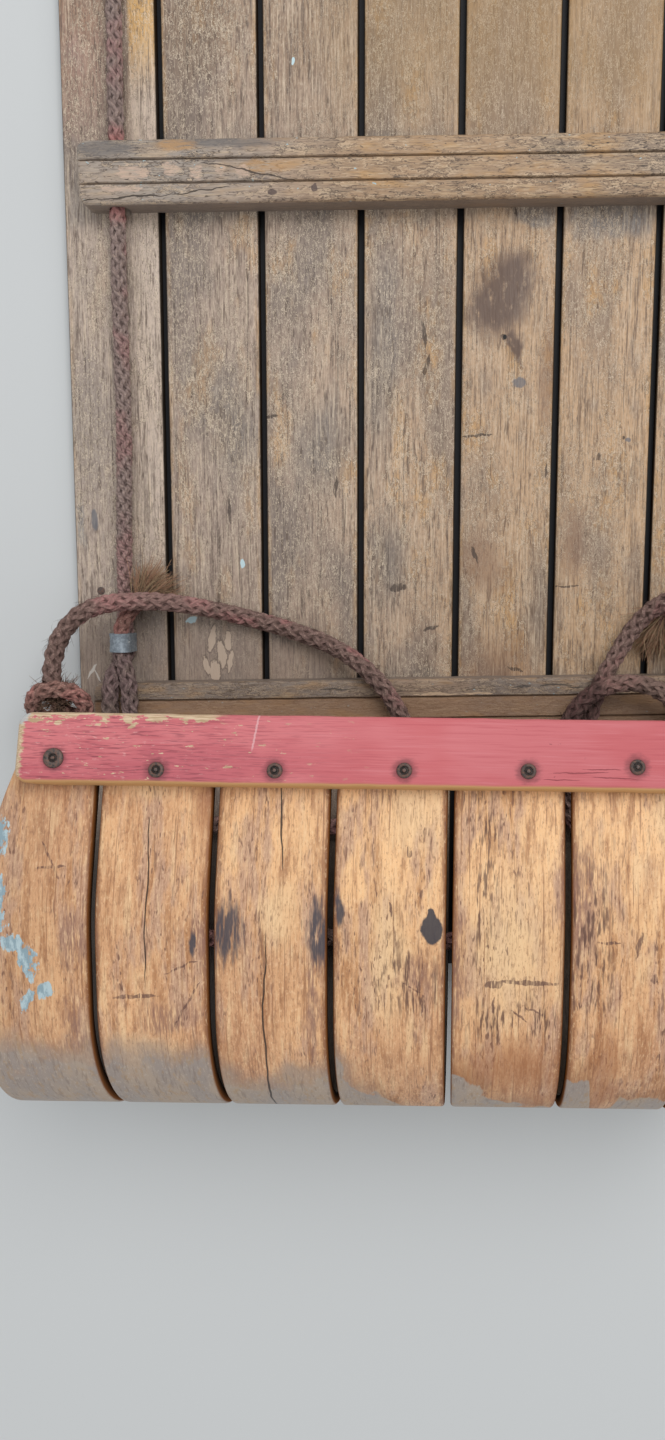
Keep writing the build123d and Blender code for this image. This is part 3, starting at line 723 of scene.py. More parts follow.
# Dirt in the two grooves.
groove = add(tree, "Math", {"operation": "ABSOLUTE"}, {0: across})
groove = add(tree, "Math", {"operation": "SUBTRACT"}, {0: groove, 1: GROOVE_Y})
groove = add(tree, "Math", {"operation": "ABSOLUTE"}, {0: groove})
wood = coated(
    tree, wood, patterns,
    ("#c9ab8c", 0.75, pale_flakes),
    # Painted shade: the sides of the bar greyer below its top.
    ("#7d7067", 0.75, (out, 0.0153, 0.0140)),
    ("#4a3829", 0.6, (groove, 0.8 * GROOVE_HALF, 0.2 * GROOVE_HALF)),
)
height = add(tree, "Math", TIMES_PLUS, {0: patterns["fibre"], 1: 0.4, 2: patterns["flake"]})
surface(tree, shader, height, 0.6, 0.0008, {"Base Color": wood, "Roughness": 0.6})

for index in range(BATTEN_COUNT):
    work = rounded_bar(BATTEN_LENGTH, BATTEN_WIDTH, BATTEN_THICK, BATTEN_CORNER, BATTEN_EDGE)
    slice_bar(work, [step * 0.006 for step in range(-33, 34)], (1, 0, 0))
    for side in (-1, 1):
        slice_bar(work, [side * (GROOVE_Y + shift) for shift in (-GROOVE_HALF, 0, GROOVE_HALF)], (0, 1, 0))
    for vert in work.verts:
        if vert.co.z > BATTEN_THICK * 0.99 and abs(abs(vert.co.y) - GROOVE_Y) < GROOVE_HALF / 2:
            vert.co.z -= GROOVE_DEPTH
    notch_x, notch_half = (EYE_X, EYE_NOTCH) if index == 0 else (ROPE_X, ROPE_NOTCH)
    for side in (-1, 1):
        middle = side * notch_x
        slice_bar(
            work, [middle + notch_half * share for share in (-1, -0.98, -0.7, 0, 0.7, 0.98, 1)], (1, 0, 0)
        )
        for vert in work.verts:
            share = abs(vert.co.x - middle) / notch_half
            if vert.co.z < 1e-6 and share < 0.99:
                vert.co.z = NOTCH_DEPTH * (1 - share**4 / 2)
    local = [(vert.co.y, vert.co.x + 1.7 * index, vert.co.z) for vert in work.verts]
    wear(work, 0.0003, 0.009)
    stand = Matrix.Translation((0, BATTEN_FRONT_Y + index * BATTEN_SPACING, SLAT_THICK))
    stand = stand @ Matrix.Rotation(SKEW, 4, "Z")
    bmesh.ops.transform(work, matrix=stand, verts=work.verts[:])
    made = new_piece(f"batten_bar_{index + 1}", work, batten_wood, "batten_wood", f"batten_{index + 1}")
    keep_local(made, local)

# Head bar: clamps the slat tips from outside. Hardwood brushed with red paint, faded pink by the sun, chipped
# to bare wood along the rear edge and rubbed off along the front one. A bare bar lies behind the tips.
BAR_LENGTH = 0.400
BAR_WIDTH = 0.038
BAR_THICK = 0.013
BAR_CORNER = 0.007
BAR_EDGE = 0.003
INNER_LENGTH = 0.372
INNER_WIDTH = 0.030
INNER_THICK = 0.011
BAR_FOOT = Vector((0, -0.59184, 0.14889))
RIVET_SPOTS = (
    (-0.1793, 0.0060), (-0.1244, 0.0115), (-0.0617, 0.0110), (0.0069, 0.0100), (0.0727, 0.0095),
    (0.1305, 0.0065), (0.1810, 0.0080),
)
bar_turn = Matrix.Rotation(-HOOK, 4, "X")


def near(tree, place, middles, ragged, blur):
    """How far each place is from the nearest of some points, made ragged by a pattern."""
    nearest = 1.0
    for middle in middles:
        add(tree, "VectorMath", {"operation": "DISTANCE"}, {0: place, 1: middle})
        away = {0: tree.nodes[-1].outputs["Value"], 1: nearest}
        nearest = add(tree, "Math", {"operation": "MINIMUM"}, away)
    return add(tree, "Math", TIMES_PLUS, {0: ragged, 1: blur, 2: nearest})


# Faded red brushed paint: to the eye chalky and matt, pink where the sun took it, with brush lines along the
# bar, dark grain through them and pale bare wood in the chips.
red_paint, tree, shader = new_material("faded_red_brushed_paint")
board = add(tree, "Attribute", {"attribute_name": "board"}, {})
across, along, out = add(tree, "SeparateXYZ", {}, {0: board}).node.outputs
patterns = figure(
    tree, board,
    ("brush", 0.9, 45, 2, 0.6),
    ("grain", 0.6, 11, 2, 0.6),
    ("cloud", 25, 60, 2, 0.5),
    ("chip", 3, 9, 4, 0.65),
    ("fine", 1.6, 5, 3, 0.7),
)
rubbed = (along, 0.02, -0.12)
paint = coated(
    tree, linear("#ca6a6e"), patterns,
    ("#d0767a", 1, ("cloud", 0.40, 0.62)),
    ("#bf656e", 0.8, rubbed, ("cloud", 0.62, 0.42)),
    ("#b9575c", 0.32, (along, 0.0, 0.10)),
    ("#84404a", 0.75, ("grain", 0.50, 0.66), (along, 0.02, -0.16)),
    ("#e6bdb6", 0.4, ("fine", 0.60, 0.70), (along, -0.04, -0.16)),
    ("#b25058", 0.4, ("brush", 0.54, 0.70)),
    ("#dd9297", 0.2, ("brush", 0.44, 0.30)),
)
# Rust stains round the rivets, one scratch and a few hairlines.
rivets = [(-forward, x, BAR_THICK) for x, forward in RIVET_SPOTS]
stained = near(tree, board, rivets, patterns["fine"], 0.006)
paint = coated(tree, paint, patterns, ("#4a2c31", 0.5, (stained, 0.0115, 0.0072)))
scratch = add(tree, "Math", TIMES_PLUS, {0: across, 1: -0.16, 2: along})
scratch = add(tree, "Math", TIMES_PLUS, {0: patterns["fine"], 1: 0.0012, 2: scratch})
scratch = add(tree, "Math", {"operation": "ADD"}, {0: scratch, 1: 0.0737})
scratch = add(tree, "Math", {"operation": "ABSOLUTE"}, {0: scratch})
paint = coated(tree, paint, patterns, ("#e6c2c2", 0.5, (scratch, 0.0007, 0.0003), (across, -0.002, 0.002)))
hairs = spots(
    tree, bent(tree, board, 7, 0.0018), patterns["fine"], 0.9, 0.1,
    ((-0.0100, 0.1000), 0.00035, 0.0160, 2), ((-0.0125, 0.1180), 0.00035, 0.0120, -2),
    ((-0.0080, 0.1120), 0.0003, 0.0100, 1), ((-0.0140, 0.0900), 0.0003, 0.0100, 0),
)
paint = coated(tree, paint, patterns, ("#7e3139", 0.75, hairs))
# Bare wood where the paint has chipped or rubbed off, mostly along the edges.
bare = coated(tree, linear("#d8bfa0"), patterns, ("#b39676", 1, ("grain", 0.40, 0.62)))
rear_edge = add(tree, "Math", TIMES_PLUS, {0: patterns["chip"], 1: 0.030, 2: across})
front_edge = add(tree, "Math", TIMES_PLUS, {0: patterns["fine"], 1: -0.004, 2: across})
end_edge = add(tree, "Math", TIMES_PLUS, {0: patterns["fine"], 1: 0.007, 2: along})
corner = near(tree, board, [(0.017, -0.199, BAR_THICK)], patterns["fine"], 0.008)
under = add(tree, "Math", {"operation": "LESS_THAN"}, {0: out, 1: 0.0045})
paint = coated(
    tree, paint, patterns,
    (bare, 1, (rear_edge, 0.0296, 0.0303), (along, -0.085, -0.098)),
    (bare, 1, (end_edge, -0.1920, -0.1935)),
    (bare, 1, ("chip", 0.655, 0.665), rubbed),
    (bare, 1, under),
    ("#c89a66", 1, (front_edge, -0.0174, -0.0184), (out, 0.0129, 0.0122)),
    ("#7b3a41", 0.7, ("chip", 0.29, 0.275)),
    ("#b7c0c4", 0.75, (corner, 0.0095, 0.0080)),
)
height = add(tree, "Math", TIMES_PLUS, {0: patterns["grain"], 1: -0.5, 2: patterns["brush"]})
looks = {"Base Color": paint, "Roughness": 0.62, "Specular IOR Level": 0.3}
surface(tree, shader, height, 0.4, 0.0005, looks)

for name, node, length, width, thick, up, material, slot in (
    ("clamp_bar_outer", "head_bar", BAR_LENGTH, BAR_WIDTH, BAR_THICK, 1, red_paint, "red_paint"),
    ("clamp_bar_inner", "inner_bar", INNER_LENGTH, INNER_WIDTH, INNER_THICK, -1, batten_wood, "batten_wood"),
):
    work = rounded_bar(length, width, thick, BAR_CORNER, BAR_EDGE)
    slice_bar(work, [step * 0.006 for step in range(-32, 33)], (1, 0, 0))
    local = [(vert.co.y, vert.co.x, vert.co.z) for vert in work.verts]
    wear(work, 0.00035, 0.012)
    lift = Matrix.Translation(BAR_FOOT) @ bar_turn
    if up < 0:
        lift = lift @ Matrix.Translation((0, 0, -SLAT_THICK)) @ Matrix.Rotation(pi, 4, "X")
    bmesh.ops.transform(work, matrix=lift, verts=work.verts[:])
    made = new_piece(name, work, material, slot, node)
    keep_local(made, local)

# Rivets: seven steel rivets hold both bars on the tips, each peened over a small burr, the end ones larger.
# The steel has rusted dark brown-grey and is polished only on the peened ends.
RIVET_SHANK = 0.0025
# Rusted dark steel: dull brown to near black, the near black partly grime and partly painted shade in the
# creases, with a faint gleam of metal only where the rust is thin.
rivet_steel, tree, shader = new_material("rusted_dark_steel")
space = add(tree, "TexCoord", {}, {}).node.outputs["Object"]
patterns = figure(tree, space, ("rust", 10 / 7, 10 / 7, 4, 0.7))
grimy_and_shaded = add(tree, "Attribute", {"attribute_name": "grime_and_shade"}, {}).node.outputs["Fac"]
steel = coated(
    tree, linear("#5d5450"), patterns,
    ("#6f4f42", 1, ("rust", 0.45, 0.60)),
    ("#34302f", 1, ("rust", 0.42, 0.30)),
    # Grime and painted shade, near black, where the vertices are marked.
    ("#15110f", 0.85, grimy_and_shaded),
)
ends = {"Value": patterns["rust"], "From Min": 0.62, "From Max": 0.40, "To Max": 0.65}
bright = add(tree, "MapRange", SMOOTH, ends)
looks = {"Base Color": steel, "Metallic": bright, "Roughness": 0.55}
surface(tree, shader, patterns["rust"], 0.5, 0.0003, looks)


def turned(profile, steps, matrix):
    """A round part spun from half its section, given as distances from the axis and heights."""
    work = bmesh.new()
    points = [work.verts.new((away, 0, up)) for away, up in profile]
    edges = [work.edges.new(pair) for pair in zip(points, points[1:])]
    bmesh.ops.spin(
        work, geom=points + edges, cent=(0, 0, 0), axis=(0, 0, 1), angle=2 * pi, steps=steps, use_merge=True
    )
    bmesh.ops.remove_doubles(work, verts=work.verts[:], dist=1e-6)
    bmesh.ops.recalc_face_normals(work, faces=work.faces[:])
    bmesh.ops.transform(work, matrix=matrix, verts=work.verts[:])
    return work


for index, (x, forward) in enumerate(RIVET_SPOTS):
    burr = 0.0055 if index in (0, SLAT_COUNT - 1) else 0.0043
    top = BAR_THICK
    foot = -SLAT_THICK - INNER_THICK
    profile = [
        (0, top + 0.0016), (0.0009, top + 0.0014), (0.0013, top + 0.0006), (0.0021, top + 0.0005),
        (0.0024, top + 0.0012), (0.0029, top + 0.0015), (burr - 0.0008, top + 0.0013),
        (burr - 0.0002, top + 0.0007), (burr, top - 0.0004), (RIVET_SHANK, top - 0.0003), (RIVET_SHANK, foot),
        (0.0043, foot), (0.0042, foot - 0.0006), (0.0033, foot - 0.0013), (0.0018, foot - 0.0016),
        (0, foot - 0.0016),
    ]
    lift = Matrix.Translation(BAR_FOOT) @ bar_turn @ Matrix.Translation((x, -forward, 0))
    lift = lift @ Matrix.Rotation(index * 1.3, 4, "Z")
    work = turned(profile, 28, lift)
    made = new_piece(f"peened_rivet_{index + 1}", work, rivet_steel, "rivet_steel", f"rivet_{index + 1}")
    # Marks the ring round the pip and the foot of the burr for grime and painted shade.
    grime_and_shade = made.data.attributes.new("grime_and_shade", "FLOAT", "POINT")
    for value, vert in zip(grime_and_shade.data, made.data.vertices):
        away = (lift.inverted() @ vert.co).to_2d().length
        value.value = 0.0012 < away < 0.0022 or away > burr - 0.0001

# Small fixings of steel: the head of a nail driven into the left slat, and the countersunk screws that hold
# the battens, their slotted heads flush with the running face, two to each slat under every batten.
NAIL_SPOT = (-0.2044, -0.5074)
nail_head = [(0, 0.0004), (0.0018, 0.00035), (0.0026, 0.0001), (0.00285, -0.0006), (0, -0.0006)]
work = turned(nail_head, 18, Matrix.Translation((*NAIL_SPOT, SLAT_THICK)))
new_piece("deck_nail", work, rivet_steel, "rivet_steel")
SCREW_ACROSS = 0.014
SCREW_ALONG = 0.009
random.seed(17)
work = bmesh.new()
for index in range(BATTEN_COUNT):
    for slat in range(SLAT_COUNT):
        for step in (-1, 1):
            x = (slat - SLAT_COUNT // 2) * SLAT_PITCH + step * SCREW_ACROSS
            y = BATTEN_FRONT_Y + index * BATTEN_SPACING + x * tan(SKEW) + step * SCREW_ALONG
            spot = Matrix.Translation((x, y, 0.0)) @ Matrix.Rotation(random.uniform(0, pi), 4, "Z")
            sunk = spot @ Matrix.Translation((0, 0, 0.0007))
            bmesh.ops.create_cone(
                work, cap_ends=True, segments=14, radius1=0.0040, radius2=0.0022, depth=0.0016, matrix=sunk
            )
            for half in (-1, 1):
                slot = Matrix.Translation((0, half * 0.0019, -0.0002))
                slot = slot @ Matrix.Diagonal((0.0052, 0.0026, 0.0002, 1))
                bmesh.ops.create_cube(work, size=1.0, matrix=spot @ slot)
new_piece("running_screws", work, rivet_steel, "rivet_steel")

# Side ropes: a plaited rope along each outer slat, held down by the battens and knotted behind the last.
# Dirt has turned the red fibre grey-brown, and only under the battens it keeps its pink.
ROPE = 0.00575
ROPE_Z = 0.01395
FERRULE_Z = 0.01515
FERRULE_RISE = 0.0117
FERRULE_BEHIND = 0.0266
FERRULE_HALF = 0.006
PLAIT_PITCH = 0.040
SIDE_ROPE = 0.0052
TAIL_ROPE = 0.005
BRUSH_HAIRS = 620
COIL = 0.0062
COIL_Z = 0.0202
TAIL_LEFT = (
    (0.1863, -0.004, 0.02685), (0.1863, 0.0036, 0.02685), (0.1810, 0.0130, 0.0258), (0.1735, 0.0225, 0.0195),
    (0.1660, 0.0320, 0.0145),
)
TAIL_RIGHT = (
    (0.1863, -0.004, 0.02685), (0.1863, 0.0036, 0.02685), (0.1800, 0.0120, 0.0260), (0.1690, 0.0110, 0.0210),
    (0.1650, -0.0010, 0.0150), (0.1645, -0.0150, 0.0140),
)
EYE_ROUTE = (
    (0.1863, 0.0410, 0.01515), (0.1863, 0.0360, 0.01515), (0.1926, 0.0226, 0.0300), (0.1928, 0.0040, 0.0316),
    (0.1926, -0.0140, 0.0315), (0.1926, -0.0246, 0.0313), (0.1926, -0.0253, 0.0140),
    (0.1920, -0.0080, 0.01395), (0.1863, 0.0000, 0.01395), (0.1806, -0.0080, 0.01395),
    (0.1800, -0.0253, 0.0140), (0.1800, -0.0246, 0.0313), (0.1800, -0.0140, 0.0315), (0.1798, 0.0040, 0.0316),
    (0.1800, 0.0226, 0.0316), (0.1863, 0.0360, 0.02685), (0.1863, 0.0410, 0.02685),
)
random.seed(41)


def nurbs_line(points, rounds):
    """The points of one NURBS curve along a rope's route, as Blender divides it."""
    curve = bpy.data.curves.new("route", "CURVE")
    curve.dimensions = "3D"
    spline = curve.splines.new("NURBS")
    spline.points.add(len(points) - 1)
    for knot, point in zip(spline.points, points):
        knot.co = (*point, 1)
    spline.order_u = 3
    spline.use_endpoint_u = True
    curve.resolution_u = rounds
    mesh = bpy.data.meshes.new_from_object(bpy.data.objects.new("route", curve))
    return [vert.co.copy() for vert in mesh.vertices]


def placed(points, start, side):
    """Points given by how far they lie behind a start, on one side of the sled."""
    return [(side * x, start + back, z) for x, back, z in points]


def stations(line):
    """At each point of a line: the point, how far along it lies, and two directions square to the line."""
    out, run = Vector((0.13, 0.29, 1)), 0.0
    made = []
    for index, point in enumerate(line):
        ahead = (line[min(index + 1, len(line) - 1)] - line[max(index - 1, 0)]).normalized()
        out = (out - ahead * out.dot(ahead)).normalized()
        run += (point - line[index - 1]).length if index else 0
        made.append((point, run, out, ahead.cross(out)))
    return made


def strand_curve(thick, sides):
    """An empty curve whose splines become round strands."""
    curve = bpy.data.curves.new("strands", "CURVE")
    curve.dimensions = "3D"
    curve.bevel_depth = thick
    curve.bevel_resolution = sides
    curve.use_fill_caps = True
    return curve


def add_spline(curve, points, ends=1.0):
    """One more strand through some points, its tips as thick as ends says."""
    spline = curve.splines.new("POLY")
    spline.points.add(len(points) - 1)
    for knot, point in zip(spline.points, points):
        knot.co = (*point, 1)
    spline.points[-1].radius = ends


def plait(line, radius):
    """Eight strands braided round a core, four each way, passing over and under one another."""
    curve = strand_curve(0.38 * radius, 1)
    for strand in range(8):
        hand = 1 if strand % 2 else -1
        path = []
        for point, run, one, two in stations(line):
            turn = hand * 2 * pi * run / PLAIT_PITCH + strand * pi / 4
            away = radius * (0.56 - hand * 0.09 * sin(8 * pi * run / PLAIT_PITCH))
            stray = noise.noise_vector(point * 90 + one * strand) * 0.0004
            path.append(point + away * (one * cos(turn) + two * sin(turn)) + stray)
        add_spline(curve, path)
    add_spline(curve, line)
    for knot in curve.splines[-1].points:
        knot.radius = 1.85
    return curve


def rope_piece(name, line, radius, material, slot, node):
    """A plait as a piece. Each vertex stores how near the rope's surface it lies, 1 on the crests."""
    made = new_piece(name, plait(line, radius), material, slot, node)
    tree = kdtree.KDTree(len(line))
    for index, point in enumerate(line):
        tree.insert(point, index)
    tree.balance()
    depth = made.data.attributes.new("crest", "FLOAT", "POINT")
    for value, vert in zip(depth.data, made.data.vertices):
        value.value = tree.find(vert.co)[2] / radius
    return made


def fuzz(line, radius, count, longest):
    """Loose fibres that stand off a rope, more along it than away from it."""
    curve = strand_curve(0.00007, 0)
    places = stations(line)
    for fibre in range(count):
        index = random.randrange(len(places) - 1)
        point, run, one, two = places[index]
        turn = random.uniform(0, 2 * pi)
        off = one * cos(turn) + two * sin(turn)
        ahead = one.cross(two) * random.choice((-1, 1))
        reach = longest * random.uniform(0.35, 1)
        lean = (off * random.uniform(0.15, 0.9) + ahead + one * random.uniform(-0.5, 0.5)).normalized()
        foot = point + off * radius * 0.88
        middle = foot + lean * reach * 0.5 + off * reach * random.uniform(0, 0.15)
        add_spline(curve, [foot, middle, foot + lean * reach + off * reach * random.uniform(-0.15, 0.2)], 0.4)
    return curve


def rope_material(name, dusty, faded, dark, pale, turns, marks=()):
    """Plaited plant fibre, its twisted yarns worn pale on the crests, and darker between them as painted
    shade. The single fibre is drawn coarser than life, to show at all."""
    material, tree, shader = new_material(name)
    space = add(tree, "TexCoord", {}, {}).node.outputs["Object"]
    crest = add(tree, "Attribute", {"attribute_name": "crest"}, {}).node.outputs["Fac"]
    yarn = add(tree, "TexCoord", {}, {}).node.outputs["UV"]
    length, girth, _ = add(tree, "SeparateXYZ", {}, {0: yarn}).node.outputs
    patterns = figure(
        tree, space, ("stretch", 34, 34, 2, 0.7), ("tuft", 3.2, 3.2, 3, 0.7), ("fibre", 0.8, 0.8, 2, 0.7)
    )
    twist = add(tree, "Math", TIMES, {0: length, 1: 2 * pi * turns})
    twist = add(tree, "Math", TIMES_PLUS, {0: girth, 1: 6 * pi, 2: twist})
    twist = add(tree, "Math", TIMES_PLUS, {0: patterns["tuft"], 1: 4.0, 2: twist})
    twist = add(tree, "Math", {"operation": "SINE"}, {0: twist})
    colour = coated(
        tree, linear(dusty), patterns,
        (faded, 1, ("stretch", 0.46, 0.60)),
        (dark, 0.45, (twist, 0.2, -0.9)),
        (pale, 0.7, ("fibre", 0.50, 0.70), (crest, 0.80, 0.98)),
        (dark, 0.6, ("tuft", 0.52, 0.68)),
    )
    for code, middle, reach, share in marks:
        away = near(tree, space, [middle], patterns["tuft"], 0.012)
        colour = coated(tree, colour, patterns, (code, share, (away, reach + 0.006, reach * 0.6 + 0.006)))
    # Painted shade: the plait darker deeper in, between the strands.
    colour = coated(tree, colour, patterns, ("#362a26", 0.6, (crest, 0.84, 0.66)))
    height = add(tree, "Math", TIMES_PLUS, {0: patterns["fibre"], 1: 0.8, 2: twist})
    looks = {"Base Color": colour, "Roughness": 0.95, "Specular IOR Level": 0.2}
    surface(tree, shader, height, 0.6, 0.0004, looks)
    return material


def fray_material(name, near, far, dark):
    """Loose fibre from a frayed end, each hair its own shade of the same plant stuff."""
    material, tree, shader = new_material(name)
    shade = add(tree, "Attribute", {"attribute_name": "shade"}, {}).node.outputs["Fac"]
    colour = coated(tree, linear(near), {}, (far, 1, (shade, 0.45, 0.60)), (dark, 0.9, (shade, 0.40, 0.05)))
    tree.links.new(colour, shader.inputs["Base Color"])
    shader.inputs["Roughness"].default_value = 0.9
    shader.inputs["Specular IOR Level"].default_value = 0.2
    return material


def shade_hairs(made, count):
    """Stores one random shade on all the vertices of each hair."""
    each = len(made.data.vertices) // count
    shades = [random.random() for hair in range(count)]
    values = made.data.attributes.new("shade", "FLOAT", "POINT")
    for index, value in enumerate(values.data):
        value.value = shades[min(index // each, count - 1)]


def brush(line, radius, count, longest, spread):
    """Unlaid fibres that spread from the end of a rope, and stay above the boards."""
    curve = strand_curve(0.00016, 0)
    places = stations(line)
    forward = (line[-1] - line[0]).normalized()
    for fibre in range(count):
        point, run, one, two = places[int(len(places) * random.uniform(0.66, 0.86))]
        turn, away = random.uniform(0, 2 * pi), radius * random.uniform(0.1, 0.95)
        off = one * cos(turn) + two * sin(turn)
        ahead = one.cross(two) * (1 if one.cross(two).dot(forward) > 0 else -1)
        reach = longest * random.uniform(0.4, 1)
        lean = ahead + off * random.uniform(0, spread) * away / radius + one * random.uniform(-0.2, 0.2)
        lean.normalize()
        foot = point + off * away
        path = [foot, foot + lean * reach * 0.35]
        path += [foot + lean * reach * 0.7 + off * 0.002, foot + lean * reach + off * 0.003]
        path[2] += Vector((random.uniform(-1, 1), random.uniform(-1, 1), random.uniform(-1, 1))) * 0.0015
        path[3] += Vector((random.uniform(-1, 1), random.uniform(-1, 1), random.uniform(-1.5, 0.5))) * 0.003
        add_spline(curve, [Vector((p.x, p.y, max(p.z, SLAT_THICK + 0.0003))) for p in path], 0.5)
    return curve


# The side ropes look dusty, pink-brown and quite matt, and the pull rope redder, blotched dark by its knots.
# The eyes look grimy and grey, and the cut ends and pull knots are the reddest and freshest of all.
kept_pink = []
for side in (-1, 1):
    for index in range(1, BATTEN_COUNT):
        y = BATTEN_FRONT_Y + side * ROPE_X * tan(SKEW) + index * BATTEN_SPACING
        kept_pink.append(("#b0706c", (side * ROPE_X, y, ROPE_Z), 0.032, 0.7))
side_fibre = rope_material("dirty_plaited_fibre", "#93807a", "#9d7c78", "#5f4f49", "#bca593", 260, kept_pink)
pull_marks = (
    ("#40332f", (0.112, -0.572, 0.042), 0.026, 0.75), ("#7d675d", (0.152, -0.561, 0.045), 0.030, 0.6),
    ("#b58e88", (-0.165, -0.513, 0.033), 0.045, 0.25),
)
pull_fibre = rope_material(
    "faded_red_plaited_fibre", "#7f665f", "#9f706d", "#524039", "#bda393", 290, pull_marks
)
eye_fibre = rope_material("grimy_plaited_fibre", "#78665f", "#7e6866", "#4a3e3b", "#ab988b", 40)
knot_fibre = rope_material("reddish_plaited_fibre", "#967066", "#ac776f", "#563f39", "#cdab9b", 40)
# Frayed tan fibre looks like dry, straw-coloured hair, and dark matted fibre like damp, trodden tow.
frayed_fibre = fray_material("frayed_tan_fibre", "#ab9374", "#a98269", "#57453a")
matted_fibre = fray_material("dark_matted_fibre", "#75604e", "#8a6c5c", "#332723")
# Dull galvanised steel: a cold blue-grey with paler spangles and a soft, blurred shine.
zinc, tree, shader = new_material("dull_galvanised_steel")
space = add(tree, "TexCoord", {}, {}).node.outputs["Object"]
patterns = figure(tree, space, ("spangle", 20 / 9, 20 / 9, 3, 0.6), ("fleck", 50 / 13, 50 / 13, 2, 0.5))
metal = coated(
    tree, linear("#7f8890"), patterns,
    ("#98a2aa", 1, ("spangle", 0.42, 0.60)),
    ("#cfd6d8", 1, ("fleck", 0.68, 0.71)),
)
looks = {"Base Color": metal, "Metallic": 0.45, "Roughness": 0.55}
surface(tree, shader, patterns["spangle"], 0.3, 0.0003, looks)
for side, hand in ((-1, "left"), (1, "right")):
    batten_mid = BATTEN_FRONT_Y + side * EYE_X * tan(SKEW)
    ferrule_y = batten_mid + BATTEN_WIDTH / 2 + FERRULE_BEHIND
    last_y = BATTEN_FRONT_Y + 4 * BATTEN_SPACING + side * ROPE_X * tan(SKEW) + BATTEN_WIDTH / 2
    route = [
        (side * EYE_X, ferrule_y, FERRULE_Z),
        (side * EYE_X, ferrule_y + 0.030, FERRULE_Z),
        (side * (EYE_X - 0.0006), ferrule_y + 0.080, ROPE_Z + 0.0004),
        (side * ROPE_X, ferrule_y + 0.140, ROPE_Z),
    ]
    for off, y in (
        (0.0012, -0.330), (0.0004, -0.210), (-0.0010, -0.080), (0.0008, 0.080),
        (0.0014, 0.240), (-0.0008, 0.360), (-0.0004, 0.520), (0.0010, 0.680),
    ):
        route.append((side * (ROPE_X + off), y, ROPE_Z))
    route.append((side * ROPE_X, last_y, ROPE_Z))
    line = nurbs_line(route, 90)
    rope_piece(f"side_plait_{hand}", line, SIDE_ROPE, side_fibre, "side_rope", f"side_rope_{hand}")
    new_piece(f"side_fuzz_{hand}", fuzz(line, SIDE_ROPE, 1500, 0.006), side_fibre, "side_rope")
    line = nurbs_line(placed(EYE_ROUTE, batten_mid, side), 14)
    rope_piece(f"eye_plait_{hand}", line, ROPE, eye_fibre, "side_rope", f"eye_{hand}")
    new_piece(f"eye_fuzz_{hand}", fuzz(line, ROPE, 260, 0.006), eye_fibre, "side_rope")
    # The ferrule: a galvanised steel sleeve crimped over both strands.
    sleeve = bmesh.new()
    upright = Matrix.Translation((side * EYE_X, ferrule_y - FERRULE_HALF, FERRULE_Z + FERRULE_RISE / 2))
    upright = upright @ Matrix.Rotation(-pi / 2, 4, "X")
    rings = []
    for along, off in (
        (0.002, 0.0001), (0, 0.0001), (0, 0.0012), (0.003, 0.0011), (0.005, 0.0008),
        (0.007, 0.00105), (0.009, 0.0008), (0.012, 0.0012), (0.012, 0.0001), (0.010, 0.0001),
    ):
        place = Matrix.Translation((0, 0, along)) @ Matrix.Rotation(pi / 32, 4, "Z")
        ring = bmesh.ops.create_circle(sleeve, segments=32, radius=ROPE + off, matrix=place)["verts"]
        for vert in ring:
            vert.co.y += FERRULE_RISE / 2 if vert.co.y > 0 else -FERRULE_RISE / 2
        rings.append(list(dict.fromkeys(edge for vert in ring for edge in vert.link_edges)))
    for low, high in zip(rings, rings[1:]):
        bmesh.ops.bridge_loops(sleeve, edges=low + high)
    bmesh.ops.holes_fill(sleeve, edges=rings[0] + rings[-1], sides=0)
    bmesh.ops.recalc_face_normals(sleeve, faces=sleeve.faces[:])
    wear(sleeve, 0.00025, 0.006)
    bmesh.ops.transform(sleeve, matrix=upright, verts=sleeve.verts[:])
    new_piece(f"sleeve_{hand}", sleeve, zinc, "ferrule_steel", f"ferrule_{hand}")
    # The cut end of the rope: plaited for a little way, then frayed into a brush of loose fibre.
    rear = ferrule_y + FERRULE_HALF
    line = nurbs_line(placed(TAIL_LEFT if side < 0 else TAIL_RIGHT, rear, side), 14)
    short = line[: int(len(line) * 0.86)]
    rope_piece(f"tail_plait_{hand}", short, TAIL_ROPE, knot_fibre, "side_rope", f"tail_{hand}")
    tuft = brush(line, TAIL_ROPE, BRUSH_HAIRS, 0.027, 1.3)
    shade_hairs(new_piece(f"tail_brush_{hand}", tuft, frayed_fibre, "side_rope"), BRUSH_HAIRS)
    coil = []
    for step in range(21):
        turn = side * step * pi / 4 + pi / 2
        x, z = side * ROPE_X + COIL * cos(turn), COIL_Z - COIL * sin(turn)
        coil.append((x, last_y + COIL + 0.00052 * step, z))
    line = nurbs_line(coil, 10)
    rope_piece(f"rear_coil_{hand}", line, 0.0055, side_fibre, "side_rope", f"rear_knot_{hand}")

